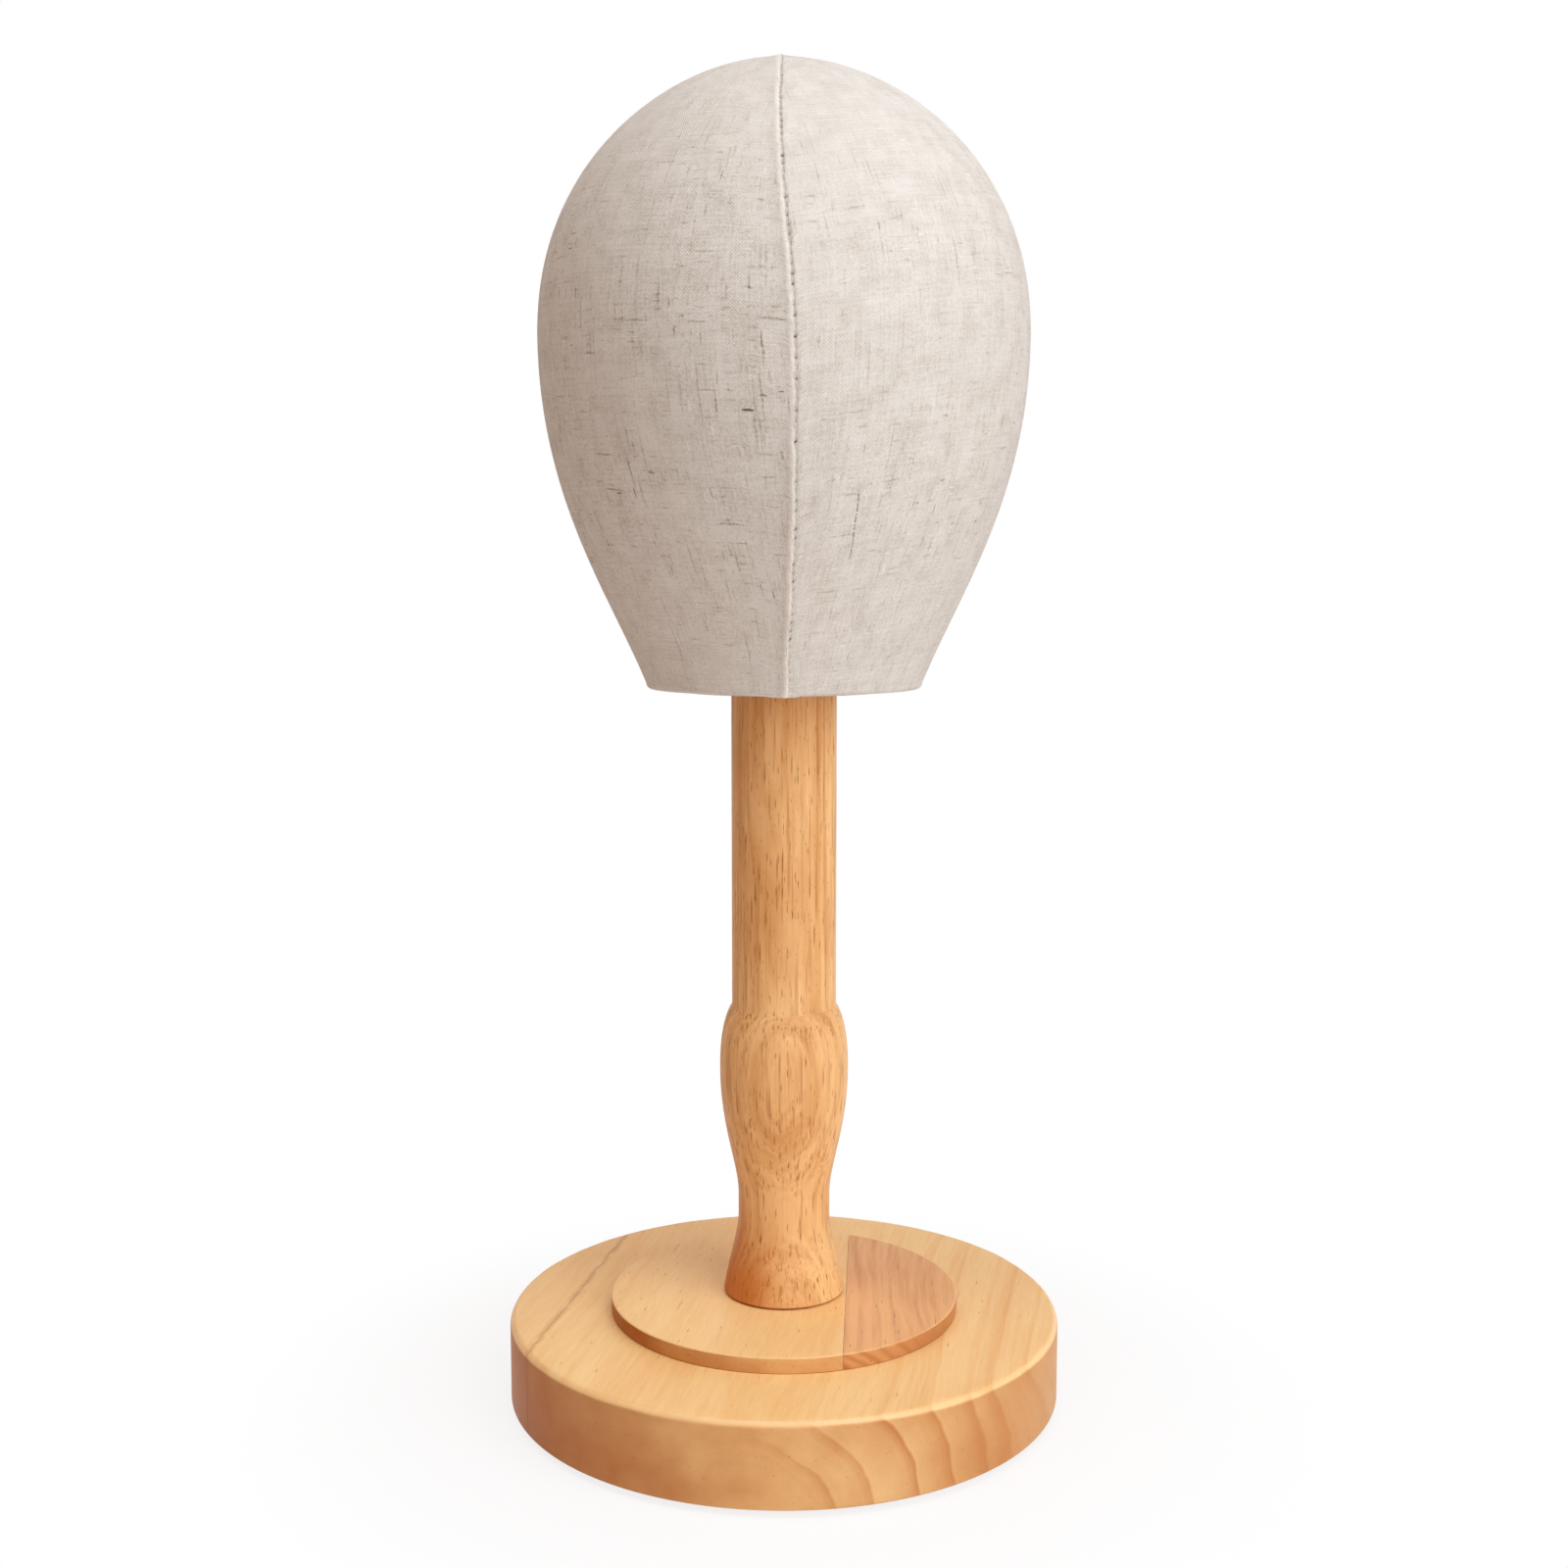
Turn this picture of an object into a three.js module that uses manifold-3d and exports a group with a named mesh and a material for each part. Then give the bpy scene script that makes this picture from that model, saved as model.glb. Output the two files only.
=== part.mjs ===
// Head stand: a cloth-covered head that turns and lifts off on a turned post,
// which is bolted to a round wooden base with a thin tier. Millimetres, +Z up,
// origin on the floor under the post. The face looks along -Y.
import * as THREE from 'three';
import { mergeVertices } from 'three/addons/utils/BufferGeometryUtils.js';
import Module from 'manifold-3d';

const wasm = await Module();
wasm.setup();

// Clearances
const GLUE_LINE = 0.1;        // glued or clamped faces
const SEAT_GAP = 0.3;         // faces that rest on each other
const SOCKET_CLEARANCE = 0.5; // post in the head's lining tube, on the radius
const THREAD_CLEARANCE = 0.2; // bolt in its insert, on the radius
const HOLE_CLEARANCE = 0.5;   // bolt in the wood, on the radius

// Pads under the base
const PAD_RADIUS = 9;
const PAD_THICKNESS = 2;
const PAD_INSET = 22.5;       // middle of a pad, from the base's rim
const PAD_COUNT = 4;

// Base disc, glued up from two boards
const BASE_RADIUS = 92.5;
const BASE_THICKNESS = 27.5;
const BASE_TOP_ROUND = 2.5;
const BASE_BOTTOM_ROUND = 1;
const BASE_GRAIN_TURN = 11.5;   // degrees from +Y, towards +X
const BASE_NARROW_BOARD = 20.5; // width of the left board, from the rim to the joint

// Tier disc, glued up from two boards
const TIER_RADIUS = 58.6;
const TIER_THICKNESS = 5.2;
const TIER_EDGE_ROUND = 0.5;
const TIER_GRAIN_TURN = 2.9;
const TIER_DARK_BOARD = 37.4;   // width of the right board

// Post: heights are above its foot
const POST_LENGTH = 295;
const SHAFT_RADIUS = 17.4;
const SHAFT_TOP_CHAMFER = 1.5;
const FOOT_RADIUS = 20.4;
const FOOT_FLARE_HEIGHT = 27.4;
const WAIST_RADIUS = 15.4;
const WAIST_LENGTH = 6.7;
const BEAD_RADIUS = 21.5;
const BEAD_HEIGHT = 76.9;
const SHOULDER_HEIGHT = 99;
const FOOT_HANDLES = [0.4, 0.475, 0.72];    // inwards, then up twice, as shares of the flare
const VASE_HANDLES = [0.23, 0.535];         // up, as shares of the rise to the bead
const SHOULDER_HANDLES = [0.08, 0.09, 0.29]; // down, outwards and up, as shares

// Fixing of the post: bolt from below into a threaded insert
const BOLT_RADIUS = 4;
const BOLT_LENGTH = 50;
const BOLT_TIP_CHAMFER = 0.8;
const BOLT_HEAD_ACROSS_FLATS = 13;
const BOLT_HEAD_THICKNESS = 5.3;
const WASHER_RADIUS = 12;
const WASHER_THICKNESS = 1.6;
const COUNTERBORE_RADIUS = 13;
const COUNTERBORE_DEPTH = 8;
const INSERT_LENGTH = 18;
const INSERT_WALL = 1.8;
const INSERT_SETBACK = 0.5;
const BOLT_END_ROOM = 3;

// Head form: heights are above the rim of the neck
const HEAD_HEIGHT = 199.4;
const SIDE_REACH = 79.1;
const SIDE_WIDEST_HEIGHT = 113.4;
const FACE_REACH = 86;
const FACE_WIDEST_HEIGHT = 104;
const BACK_REACH = 91;
const BACK_WIDEST_HEIGHT = 122;
const CROWN_SPREAD = 34.4;      // how far the flat of the crown runs out
const CROWN_ROUNDNESS = 55.3;   // how high the temples stay upright
const SIDE_CHEEK_DROP = 51.5;   // how low the cheeks stay full
const FACE_CHEEK_DROP = 50;
const BACK_CHEEK_DROP = 56;
const NECK_RADIUS = 45.4;
const NECK_FLARE = 12;          // where the neck's curve aims, outwards
const NECK_FLARE_RISE = 29.5;   // and upwards
const SEAM_RIDGE = 5;           // how far the sewn seam stands proud of an ellipse, at the widest
const CHEEK_RIDGE = 12;         // the same lower down, where the panels lie flattest
const CHEEK_RIDGE_HEIGHT = 40;
const NECK_RIDGE = 8.5;         // and at the neck
const HEM_ROUND = 2;

// Cloth, neck ring and socket
const CLOTH_THICKNESS = 1.1;
const SEAM_GAP = 0.3;
const HEM_WIDTH = 13;
const LINING_RADIUS = 38;
const LINING_THICKNESS = 0.5;
const LINING_HOLE_MARGIN = 0.8; // lining's hole beyond the tube's bore
const NECK_RING_THICKNESS = 9;
const TUBE_WALL = 1.5;
const SOCKET_DEPTH = 90.7;
const STOP_THICKNESS = 4;

// Fineness of the curved faces
const BASE_SEGMENTS = 88;
const TIER_SEGMENTS = 72;
const POST_SEGMENTS = 48;
const BORE_SEGMENTS = 32;
const HEAD_SEGMENTS = 44;
const HEAD_ROWS_PER_ARC = 10;
const ROUND_STEPS = 5;        // round along the base's top edge
const EASED_EDGE_STEPS = 2;   // small rounds on the other edges
const HEM_STEPS = 3;
const FLARE_STEPS = 7;
const VASE_STEPS = 10;
const SHOULDER_STEPS = 8;
const PAD_SEGMENTS = 24;
const HALVINGS = 40;
const CUT_OVERRUN = 1;        // how far a cutting tool runs past a face

// Heights that follow from the stack
const baseFloor = PAD_THICKNESS + GLUE_LINE;
const tierFloor = baseFloor + BASE_THICKNESS + GLUE_LINE;
const postFloor = tierFloor + TIER_THICKNESS + GLUE_LINE;
const neckRim = postFloor + POST_LENGTH + SEAT_GAP - SOCKET_DEPTH;
const washerFloor = baseFloor + COUNTERBORE_DEPTH - GLUE_LINE - WASHER_THICKNESS;
const boltSeat = washerFloor - GLUE_LINE;
const boltTip = boltSeat + BOLT_LENGTH;

// Radii that mating pieces share
const tubeBore = SHAFT_RADIUS + SOCKET_CLEARANCE;
const tubeRadius = tubeBore + TUBE_WALL;
const coreBore = tubeRadius + SEAT_GAP;
const boltHole = BOLT_RADIUS + HOLE_CLEARANCE;
const insertBore = BOLT_RADIUS + THREAD_CLEARANCE;
const insertRadius = insertBore + INSERT_WALL;

const materials = {
  linen: new THREE.MeshStandardMaterial({ color: '#ded4c8', roughness: 0.95, metalness: 0 }),
  lining: new THREE.MeshStandardMaterial({ color: '#cfc4b6', roughness: 0.95, metalness: 0 }),
  foam: new THREE.MeshStandardMaterial({ color: '#f2f1ec', roughness: 0.85, metalness: 0 }),
  plywood: new THREE.MeshStandardMaterial({ color: '#d8b98c', roughness: 0.7, metalness: 0 }),
  paperboard: new THREE.MeshStandardMaterial({ color: '#b49673', roughness: 0.85, metalness: 0 }),
  postWood: new THREE.MeshStandardMaterial({ color: '#dfa467', roughness: 0.45, metalness: 0 }),
  lightWood: new THREE.MeshStandardMaterial({ color: '#eebd84', roughness: 0.45, metalness: 0 }),
  darkWood: new THREE.MeshStandardMaterial({ color: '#dfa27a', roughness: 0.45, metalness: 0 }),
  steel: new THREE.MeshStandardMaterial({ color: '#b9bcc0', roughness: 0.35, metalness: 1 }),
  brass: new THREE.MeshStandardMaterial({ color: '#c9a655', roughness: 0.35, metalness: 1 }),
  rubber: new THREE.MeshStandardMaterial({ color: '#2c2b2a', roughness: 0.9, metalness: 0 }),
};

const v2 = (x, y) => new THREE.Vector2(x, y);
const degrees = (angle) => THREE.MathUtils.degToRad(angle);

// Closed three.js geometry to a solid that can be cut and joined
function solidOf(geometry) {
  const bare = geometry.clone();
  bare.deleteAttribute('normal');
  bare.deleteAttribute('uv');
  const merged = mergeVertices(bare, 1e-4);
  const corners = merged.index.array;
  const kept = [];
  for (let i = 0; i < corners.length; i += 3) {
    const [a, b, c] = [corners[i], corners[i + 1], corners[i + 2]];
    if (a !== b && b !== c && c !== a) kept.push(a, b, c);
  }
  const vertProperties = new Float32Array(merged.attributes.position.array);
  const triVerts = new Uint32Array(kept);
  return new wasm.Manifold(new wasm.Mesh({ numProp: 3, vertProperties, triVerts }));
}

function geometryOf(solid) {
  const cut = solid.getMesh();
  const geometry = new THREE.BufferGeometry();
  geometry.setAttribute('position', new THREE.BufferAttribute(cut.vertProperties, 3));
  geometry.setIndex(new THREE.BufferAttribute(cut.triVerts, 1));
  geometry.computeVertexNormals();
  return geometry;
}

// Profile of [radius, height] points turned about Z, listed upwards on the outside
function turned(profile, segments) {
  const geometry = new THREE.LatheGeometry(profile, segments);
  geometry.rotateX(Math.PI / 2);
  return solidOf(geometry);
}

function rod(radius, low, high, segments = BORE_SEGMENTS) {
  return turned([v2(0, low), v2(radius, low), v2(radius, high), v2(0, high)], segments);
}

function ring(bore, radius, low, high, segments = BORE_SEGMENTS) {
  const profile = [v2(bore, low), v2(radius, low), v2(radius, high), v2(bore, high), v2(bore, low)];
  return turned(profile, segments);
}

// Box between two corners
function block(low, high) {
  const size = new THREE.Vector3().subVectors(high, low);
  const geometry = new THREE.BoxGeometry(size.x, size.y, size.z);
  geometry.translate(low.x + size.x / 2, low.y + size.y / 2, low.z + size.z / 2);
  return solidOf(geometry);
}

// Everything on one side of a plane across X, out to the given reach
function sideOf(plane, direction, reach) {
  const far = direction * reach;
  const low = new THREE.Vector3(Math.min(plane, far), -reach, -reach);
  const high = new THREE.Vector3(Math.max(plane, far), reach, reach);
  return block(low, high);
}

// Quarter circle of profile points about a centre, from one angle to another
function arc(centreX, centreY, radius, fromDegrees, toDegrees, steps) {
  const points = [];
  for (let i = 0; i <= steps; i += 1) {
    const angle = degrees(fromDegrees + (toDegrees - fromDegrees) * i / steps);
    points.push(v2(centreX + radius * Math.cos(angle), centreY + radius * Math.sin(angle)));
  }
  return points;
}

// Disc with a rounded rim, standing on height 0
function roundedDisc(radius, thickness, bottomRound, topRound, steps, segments) {
  return turned([
    v2(0, 0),
    ...arc(radius - bottomRound, bottomRound, bottomRound, -90, 0, EASED_EDGE_STEPS),
    ...arc(radius - topRound, thickness - topRound, topRound, 0, 90, steps),
    v2(0, thickness),
  ], segments);
}

// Cuts a glued-up disc into its two boards along the grain
function boardsOf(disc, jointOffset, reach) {
  const higher = disc.intersect(sideOf(jointOffset + GLUE_LINE / 2, 1, reach));
  const lower = disc.intersect(sideOf(jointOffset - GLUE_LINE / 2, -1, reach));
  return { higher, lower };
}

function baseBoards() {
  const disc = roundedDisc(
    BASE_RADIUS, BASE_THICKNESS, BASE_BOTTOM_ROUND, BASE_TOP_ROUND, ROUND_STEPS, BASE_SEGMENTS,
  )
    .subtract(rod(boltHole, -CUT_OVERRUN, BASE_THICKNESS + CUT_OVERRUN))
    .subtract(rod(COUNTERBORE_RADIUS, -CUT_OVERRUN, COUNTERBORE_DEPTH));
  return boardsOf(disc, BASE_NARROW_BOARD - BASE_RADIUS, BASE_RADIUS + BASE_THICKNESS);
}

function tierBoards() {
  const disc = roundedDisc(
    TIER_RADIUS, TIER_THICKNESS, TIER_EDGE_ROUND, TIER_EDGE_ROUND, EASED_EDGE_STEPS, TIER_SEGMENTS,
  )
    .subtract(rod(boltHole, -CUT_OVERRUN, TIER_THICKNESS + CUT_OVERRUN));
  return boardsOf(disc, TIER_RADIUS - TIER_DARK_BOARD, TIER_RADIUS + TIER_THICKNESS);
}

// Turned outline of the post, from the foot to the top of the shaft
function postProfile() {
  const waistLow = FOOT_FLARE_HEIGHT;
  const waistHigh = FOOT_FLARE_HEIGHT + WAIST_LENGTH;
  const vaseHeight = BEAD_HEIGHT - waistHigh;
  const shoulderRise = SHOULDER_HEIGHT - BEAD_HEIGHT;
  const bulge = BEAD_RADIUS - SHAFT_RADIUS;
  const [footIn, footLow, footHigh] = FOOT_HANDLES;
  const [vaseLow, vaseHigh] = VASE_HANDLES;
  const [shoulderLow, shoulderOut, shoulderHigh] = SHOULDER_HANDLES;
  const flare = new THREE.CubicBezierCurve(
    v2(FOOT_RADIUS, 0),
    v2(FOOT_RADIUS - footIn * (FOOT_RADIUS - WAIST_RADIUS), footLow * waistLow),
    v2(WAIST_RADIUS, footHigh * waistLow),
    v2(WAIST_RADIUS, waistLow),
  );
  const vase = new THREE.CubicBezierCurve(
    v2(WAIST_RADIUS, waistHigh),
    v2(WAIST_RADIUS, waistHigh + vaseLow * vaseHeight),
    v2(BEAD_RADIUS, waistHigh + vaseHigh * vaseHeight),
    v2(BEAD_RADIUS, BEAD_HEIGHT),
  );
  const shoulder = new THREE.CubicBezierCurve(
    v2(BEAD_RADIUS, BEAD_HEIGHT),
    v2(BEAD_RADIUS, BEAD_HEIGHT + shoulderLow * shoulderRise),
    v2(BEAD_RADIUS + shoulderOut * bulge, SHOULDER_HEIGHT - shoulderHigh * shoulderRise),
    v2(SHAFT_RADIUS, SHOULDER_HEIGHT),
  );
  return [
    v2(0, 0),
    ...flare.getPoints(FLARE_STEPS),
    ...vase.getPoints(VASE_STEPS),
    ...shoulder.getPoints(SHOULDER_STEPS).slice(1),
    v2(SHAFT_RADIUS, POST_LENGTH - SHAFT_TOP_CHAMFER),
    v2(SHAFT_RADIUS - SHAFT_TOP_CHAMFER, POST_LENGTH),
    v2(0, POST_LENGTH),
  ];
}

function postSolid() {
  const insertEnd = INSERT_SETBACK + INSERT_LENGTH + SEAT_GAP;
  const boltEnd = boltTip - postFloor + BOLT_END_ROOM;
  return turned(postProfile(), POST_SEGMENTS)
    .subtract(rod(insertRadius + GLUE_LINE, -CUT_OVERRUN, insertEnd))
    .subtract(rod(boltHole, -CUT_OVERRUN, boltEnd));
}

// Hexagon-head bolt, head down, its seat at height 0
function boltSolid() {
  const corner = BOLT_HEAD_ACROSS_FLATS / 2 / Math.cos(degrees(30));
  const shank = turned([
    v2(0, -BOLT_HEAD_THICKNESS / 2),
    v2(BOLT_RADIUS, -BOLT_HEAD_THICKNESS / 2),
    v2(BOLT_RADIUS, BOLT_LENGTH - BOLT_TIP_CHAMFER),
    v2(BOLT_RADIUS - BOLT_TIP_CHAMFER, BOLT_LENGTH),
    v2(0, BOLT_LENGTH),
  ], BORE_SEGMENTS);
  return rod(corner, -BOLT_HEAD_THICKNESS, 0, 6).add(shank);
}

// One outline of the head, seen from the side: a crown arc over a cheek arc
function headOutline(reach, widestHeight, cheekDrop) {
  const crown = new THREE.CubicBezierCurve(
    v2(0, HEAD_HEIGHT),
    v2(CROWN_SPREAD * reach / SIDE_REACH, HEAD_HEIGHT),
    v2(reach, widestHeight + CROWN_ROUNDNESS),
    v2(reach, widestHeight),
  );
  const cheek = new THREE.CubicBezierCurve(
    v2(reach, widestHeight),
    v2(reach, widestHeight - cheekDrop),
    v2(NECK_RADIUS + NECK_FLARE, HEM_ROUND + NECK_FLARE_RISE),
    v2(NECK_RADIUS, HEM_ROUND),
  );
  return (along) => (along < 1 ? crown.getPoint(along) : cheek.getPoint(along - 1));
}

const sideOutline = headOutline(SIDE_REACH, SIDE_WIDEST_HEIGHT, SIDE_CHEEK_DROP);
const faceOutline = headOutline(FACE_REACH, FACE_WIDEST_HEIGHT, FACE_CHEEK_DROP);
const backOutline = headOutline(BACK_REACH, BACK_WIDEST_HEIGHT, BACK_CHEEK_DROP);

// Reach of an outline at a height, found by halving: height falls along an outline
function reachAt(outline, height) {
  let [above, below] = [0, 2];
  for (let i = 0; i < HALVINGS; i += 1) {
    const middle = (above + below) / 2;
    if (outline(middle).y > height) above = middle;
    else below = middle;
  }
  return outline(below).x;
}

// How far the seam stands proud at a level: it fades out over the crown
function seamRidge(side, height) {
  const { lerp, smoothstep } = THREE.MathUtils;
  if (height > SIDE_WIDEST_HEIGHT) return SEAM_RIDGE * side / SIDE_REACH;
  if (height > CHEEK_RIDGE_HEIGHT) {
    const rise = smoothstep(height, CHEEK_RIDGE_HEIGHT, SIDE_WIDEST_HEIGHT);
    return lerp(CHEEK_RIDGE, SEAM_RIDGE, rise);
  }
  return lerp(NECK_RIDGE, CHEEK_RIDGE, smoothstep(height, 0, CHEEK_RIDGE_HEIGHT));
}

// One level of the head: two half ellipses, drawn up to a low ridge at the seam
function headLevel(side, face, back, height) {
  const ridge = seamRidge(side, height);
  const level = [];
  for (let j = 0; j < HEAD_SEGMENTS; j += 1) {
    const angle = 2 * Math.PI * j / HEAD_SEGMENTS;
    const across = Math.cos(angle);
    const along = Math.sin(angle);
    const reach = along < 0 ? face : back;
    const out = (reach - ridge) * Math.abs(along) + ridge * (1 - Math.abs(across));
    level.push(new THREE.Vector3(side * across, Math.sign(along) * out, height));
  }
  return level;
}

// Levels from under the crown's pole down to the underside of the neck
function headLevels() {
  const levels = [];
  for (let i = 1; i <= 2 * HEAD_ROWS_PER_ARC; i += 1) {
    const { x: side, y: height } = sideOutline(i / HEAD_ROWS_PER_ARC);
    levels.push(headLevel(side, reachAt(faceOutline, height), reachAt(backOutline, height), height));
  }
  const hem = arc(NECK_RADIUS - HEM_ROUND, HEM_ROUND, HEM_ROUND, 0, -90, HEM_STEPS);
  for (const { x: radius, y: height } of hem.slice(1)) {
    levels.push(headLevel(radius, radius, radius, height));
  }
  const flat = NECK_RADIUS - 2 * HEM_ROUND;
  levels.push(headLevel(flat, flat, flat, 0));
  return levels;
}

// The head's form, drawn in by an inset along its own normals
function headForm(inset) {
  const levels = headLevels();
  const pole = new THREE.Vector3(0, 0, HEAD_HEIGHT);
  const floor = new THREE.Vector3(0, 0, 0);
  const positions = [pole.x, pole.y, pole.z - inset];
  levels.forEach((level, i) => {
    level.forEach((point, j) => {
      const up = i > 0 ? levels[i - 1][j] : pole;
      const down = i < levels.length - 1 ? levels[i + 1][j] : floor;
      const before = level[(j + HEAD_SEGMENTS - 1) % HEAD_SEGMENTS];
      const after = level[(j + 1) % HEAD_SEGMENTS];
      const along = new THREE.Vector3().subVectors(after, before);
      const normal = along.cross(new THREE.Vector3().subVectors(up, down)).normalize();
      const inner = point.clone().addScaledVector(normal, -inset);
      positions.push(inner.x, inner.y, inner.z);
    });
  });
  positions.push(0, 0, inset);
  const at = (i, j) => 1 + i * HEAD_SEGMENTS + (j % HEAD_SEGMENTS);
  const last = levels.length - 1;
  const index = [];
  for (let j = 0; j < HEAD_SEGMENTS; j += 1) {
    index.push(0, at(0, j), at(0, j + 1));
    for (let i = 0; i < last; i += 1) {
      index.push(at(i, j), at(i + 1, j), at(i + 1, j + 1));
      index.push(at(i, j), at(i + 1, j + 1), at(i, j + 1));
    }
    index.push(at(last, j), at(last + 1, 0), at(last, j + 1));
  }
  const geometry = new THREE.BufferGeometry();
  geometry.setAttribute('position', new THREE.Float32BufferAttribute(positions, 3));
  geometry.setIndex(index);
  return solidOf(geometry);
}

// Cloth skin with a turned-in hem, cut along the seam into its two panels
function coverPanels() {
  const skin = headForm(0)
    .subtract(headForm(CLOTH_THICKNESS))
    .subtract(rod(NECK_RADIUS - HEM_WIDTH, -CUT_OVERRUN, NECK_RING_THICKNESS, HEAD_SEGMENTS));
  return {
    right: skin.intersect(sideOf(SEAM_GAP / 2, 1, HEAD_HEIGHT + CUT_OVERRUN)),
    left: skin.intersect(sideOf(-SEAM_GAP / 2, -1, HEAD_HEIGHT + CUT_OVERRUN)),
  };
}

// What fills the cover: a plywood ring at the neck, and foam above it
function fillings() {
  const filling = headForm(CLOTH_THICKNESS + SEAT_GAP);
  const ringTop = CLOTH_THICKNESS + SEAT_GAP + NECK_RING_THICKNESS;
  const reach = HEAD_HEIGHT + CUT_OVERRUN;
  const corner = (side, height) => new THREE.Vector3(side * reach, side * reach, height);
  const below = block(corner(-1, -reach), corner(1, ringTop));
  const above = block(corner(-1, ringTop + SEAT_GAP), corner(1, reach));
  const socket = rod(coreBore, -CUT_OVERRUN, SOCKET_DEPTH + STOP_THICKNESS + SEAT_GAP);
  return {
    ring: filling.intersect(below).subtract(socket),
    core: filling.intersect(above).subtract(socket),
  };
}

function mesh(name, solid, material) {
  const part = new THREE.Mesh(geometryOf(solid), material);
  part.name = name;
  return part;
}

function placed(part, height) {
  part.position.z = height;
  return part;
}

function padsGroup() {
  const pads = new THREE.Group();
  const circle = BASE_RADIUS - PAD_INSET;
  for (let i = 0; i < PAD_COUNT; i += 1) {
    const angle = 2 * Math.PI * (i + 0.5) / PAD_COUNT;
    const disc = rod(PAD_RADIUS, 0, PAD_THICKNESS, PAD_SEGMENTS);
    const pad = mesh(`base_pad_${i + 1}`, disc, materials.rubber);
    pad.position.set(circle * Math.cos(angle), circle * Math.sin(angle), 0);
    pads.add(pad);
  }
  return pads;
}

function baseGroup() {
  const boards = baseBoards();
  const base = placed(new THREE.Group(), baseFloor);
  base.rotation.z = -degrees(BASE_GRAIN_TURN);
  base.add(mesh('base_board_wide', boards.higher, materials.lightWood));
  base.add(mesh('base_board_narrow', boards.lower, materials.lightWood));
  return base;
}

function tierGroup() {
  const boards = tierBoards();
  const tier = placed(new THREE.Group(), tierFloor);
  tier.rotation.z = -degrees(TIER_GRAIN_TURN);
  tier.add(mesh('tier_board_light', boards.lower, materials.lightWood));
  tier.add(mesh('tier_board_dark', boards.higher, materials.darkWood));
  return tier;
}

function fixingGroup() {
  const fixing = new THREE.Group();
  const washer = ring(boltHole, WASHER_RADIUS, 0, WASHER_THICKNESS);
  const insert = ring(insertBore, insertRadius, 0, INSERT_LENGTH);
  fixing.add(placed(mesh('bolt_washer', washer, materials.steel), washerFloor));
  fixing.add(placed(mesh('centre_bolt', boltSolid(), materials.steel), boltSeat));
  fixing.add(placed(mesh('post_insert', insert, materials.brass), postFloor + INSERT_SETBACK));
  return fixing;
}

function socketGroup() {
  const socket = placed(new THREE.Group(), neckRim);
  const tube = ring(tubeBore, tubeRadius, SEAT_GAP, SOCKET_DEPTH - SEAT_GAP);
  const stop = rod(tubeRadius, SOCKET_DEPTH, SOCKET_DEPTH + STOP_THICKNESS);
  socket.add(mesh('socket_tube', tube, materials.paperboard));
  socket.add(mesh('socket_stop', stop, materials.plywood));
  return socket;
}

function headGroup() {
  const head = placed(new THREE.Group(), neckRim);
  const panels = coverPanels();
  const { ring: neckRing, core } = fillings();
  const liningHole = tubeBore + LINING_HOLE_MARGIN;
  const lining = ring(liningHole, LINING_RADIUS, -SEAT_GAP - LINING_THICKNESS, -SEAT_GAP, HEAD_SEGMENTS);
  head.add(mesh('cover_left', panels.left, materials.linen));
  head.add(mesh('cover_right', panels.right, materials.linen));
  head.add(mesh('head_core', core, materials.foam));
  head.add(mesh('neck_ring', neckRing, materials.plywood));
  head.add(mesh('neck_lining', lining, materials.lining));
  return head;
}

const stand = new THREE.Group();
stand.add(padsGroup(), baseGroup(), tierGroup());
stand.add(placed(mesh('post', postSolid(), materials.postWood), postFloor));
stand.add(fixingGroup(), socketGroup(), headGroup());

export default stand;
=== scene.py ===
import math
from contextlib import contextmanager

import bmesh
import bpy
import numpy as np
from mathutils import Matrix, Vector, noise


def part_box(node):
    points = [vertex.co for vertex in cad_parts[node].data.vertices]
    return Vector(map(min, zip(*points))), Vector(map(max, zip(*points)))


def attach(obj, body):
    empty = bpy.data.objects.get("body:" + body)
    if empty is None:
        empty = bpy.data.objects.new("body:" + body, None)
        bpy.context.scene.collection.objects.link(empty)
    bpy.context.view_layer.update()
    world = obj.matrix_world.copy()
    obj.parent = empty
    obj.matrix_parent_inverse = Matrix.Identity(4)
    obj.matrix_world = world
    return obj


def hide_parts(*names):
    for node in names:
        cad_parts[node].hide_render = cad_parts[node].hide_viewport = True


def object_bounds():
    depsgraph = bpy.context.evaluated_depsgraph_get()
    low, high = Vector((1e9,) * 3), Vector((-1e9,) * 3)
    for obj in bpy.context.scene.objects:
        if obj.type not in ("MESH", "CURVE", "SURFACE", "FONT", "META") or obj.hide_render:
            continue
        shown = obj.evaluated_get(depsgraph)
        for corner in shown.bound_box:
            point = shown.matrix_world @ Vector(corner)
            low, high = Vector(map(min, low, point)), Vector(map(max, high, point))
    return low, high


# Head stand: a cloth-covered head on a turned post, bolted to a round wooden base.
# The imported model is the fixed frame; sizes below are in metres, written as so many mm.
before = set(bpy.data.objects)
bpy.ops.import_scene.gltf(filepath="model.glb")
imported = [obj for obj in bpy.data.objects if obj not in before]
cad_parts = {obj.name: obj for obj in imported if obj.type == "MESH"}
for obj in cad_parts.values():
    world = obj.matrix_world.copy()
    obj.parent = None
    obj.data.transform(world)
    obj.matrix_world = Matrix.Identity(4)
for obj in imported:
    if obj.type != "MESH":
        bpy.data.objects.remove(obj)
cad_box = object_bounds()
mm = 0.001
bpy.context.scene.view_settings.view_transform = "Standard"


# The camera stands in front, level with the lower part of the head, and looks slightly
# down, so the base shows its top as a narrow ellipse.
def in_scene(name, data):
    """A new object in the scene."""
    added = bpy.data.objects.new(name, data)
    bpy.context.scene.collection.objects.link(added)
    return added


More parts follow.
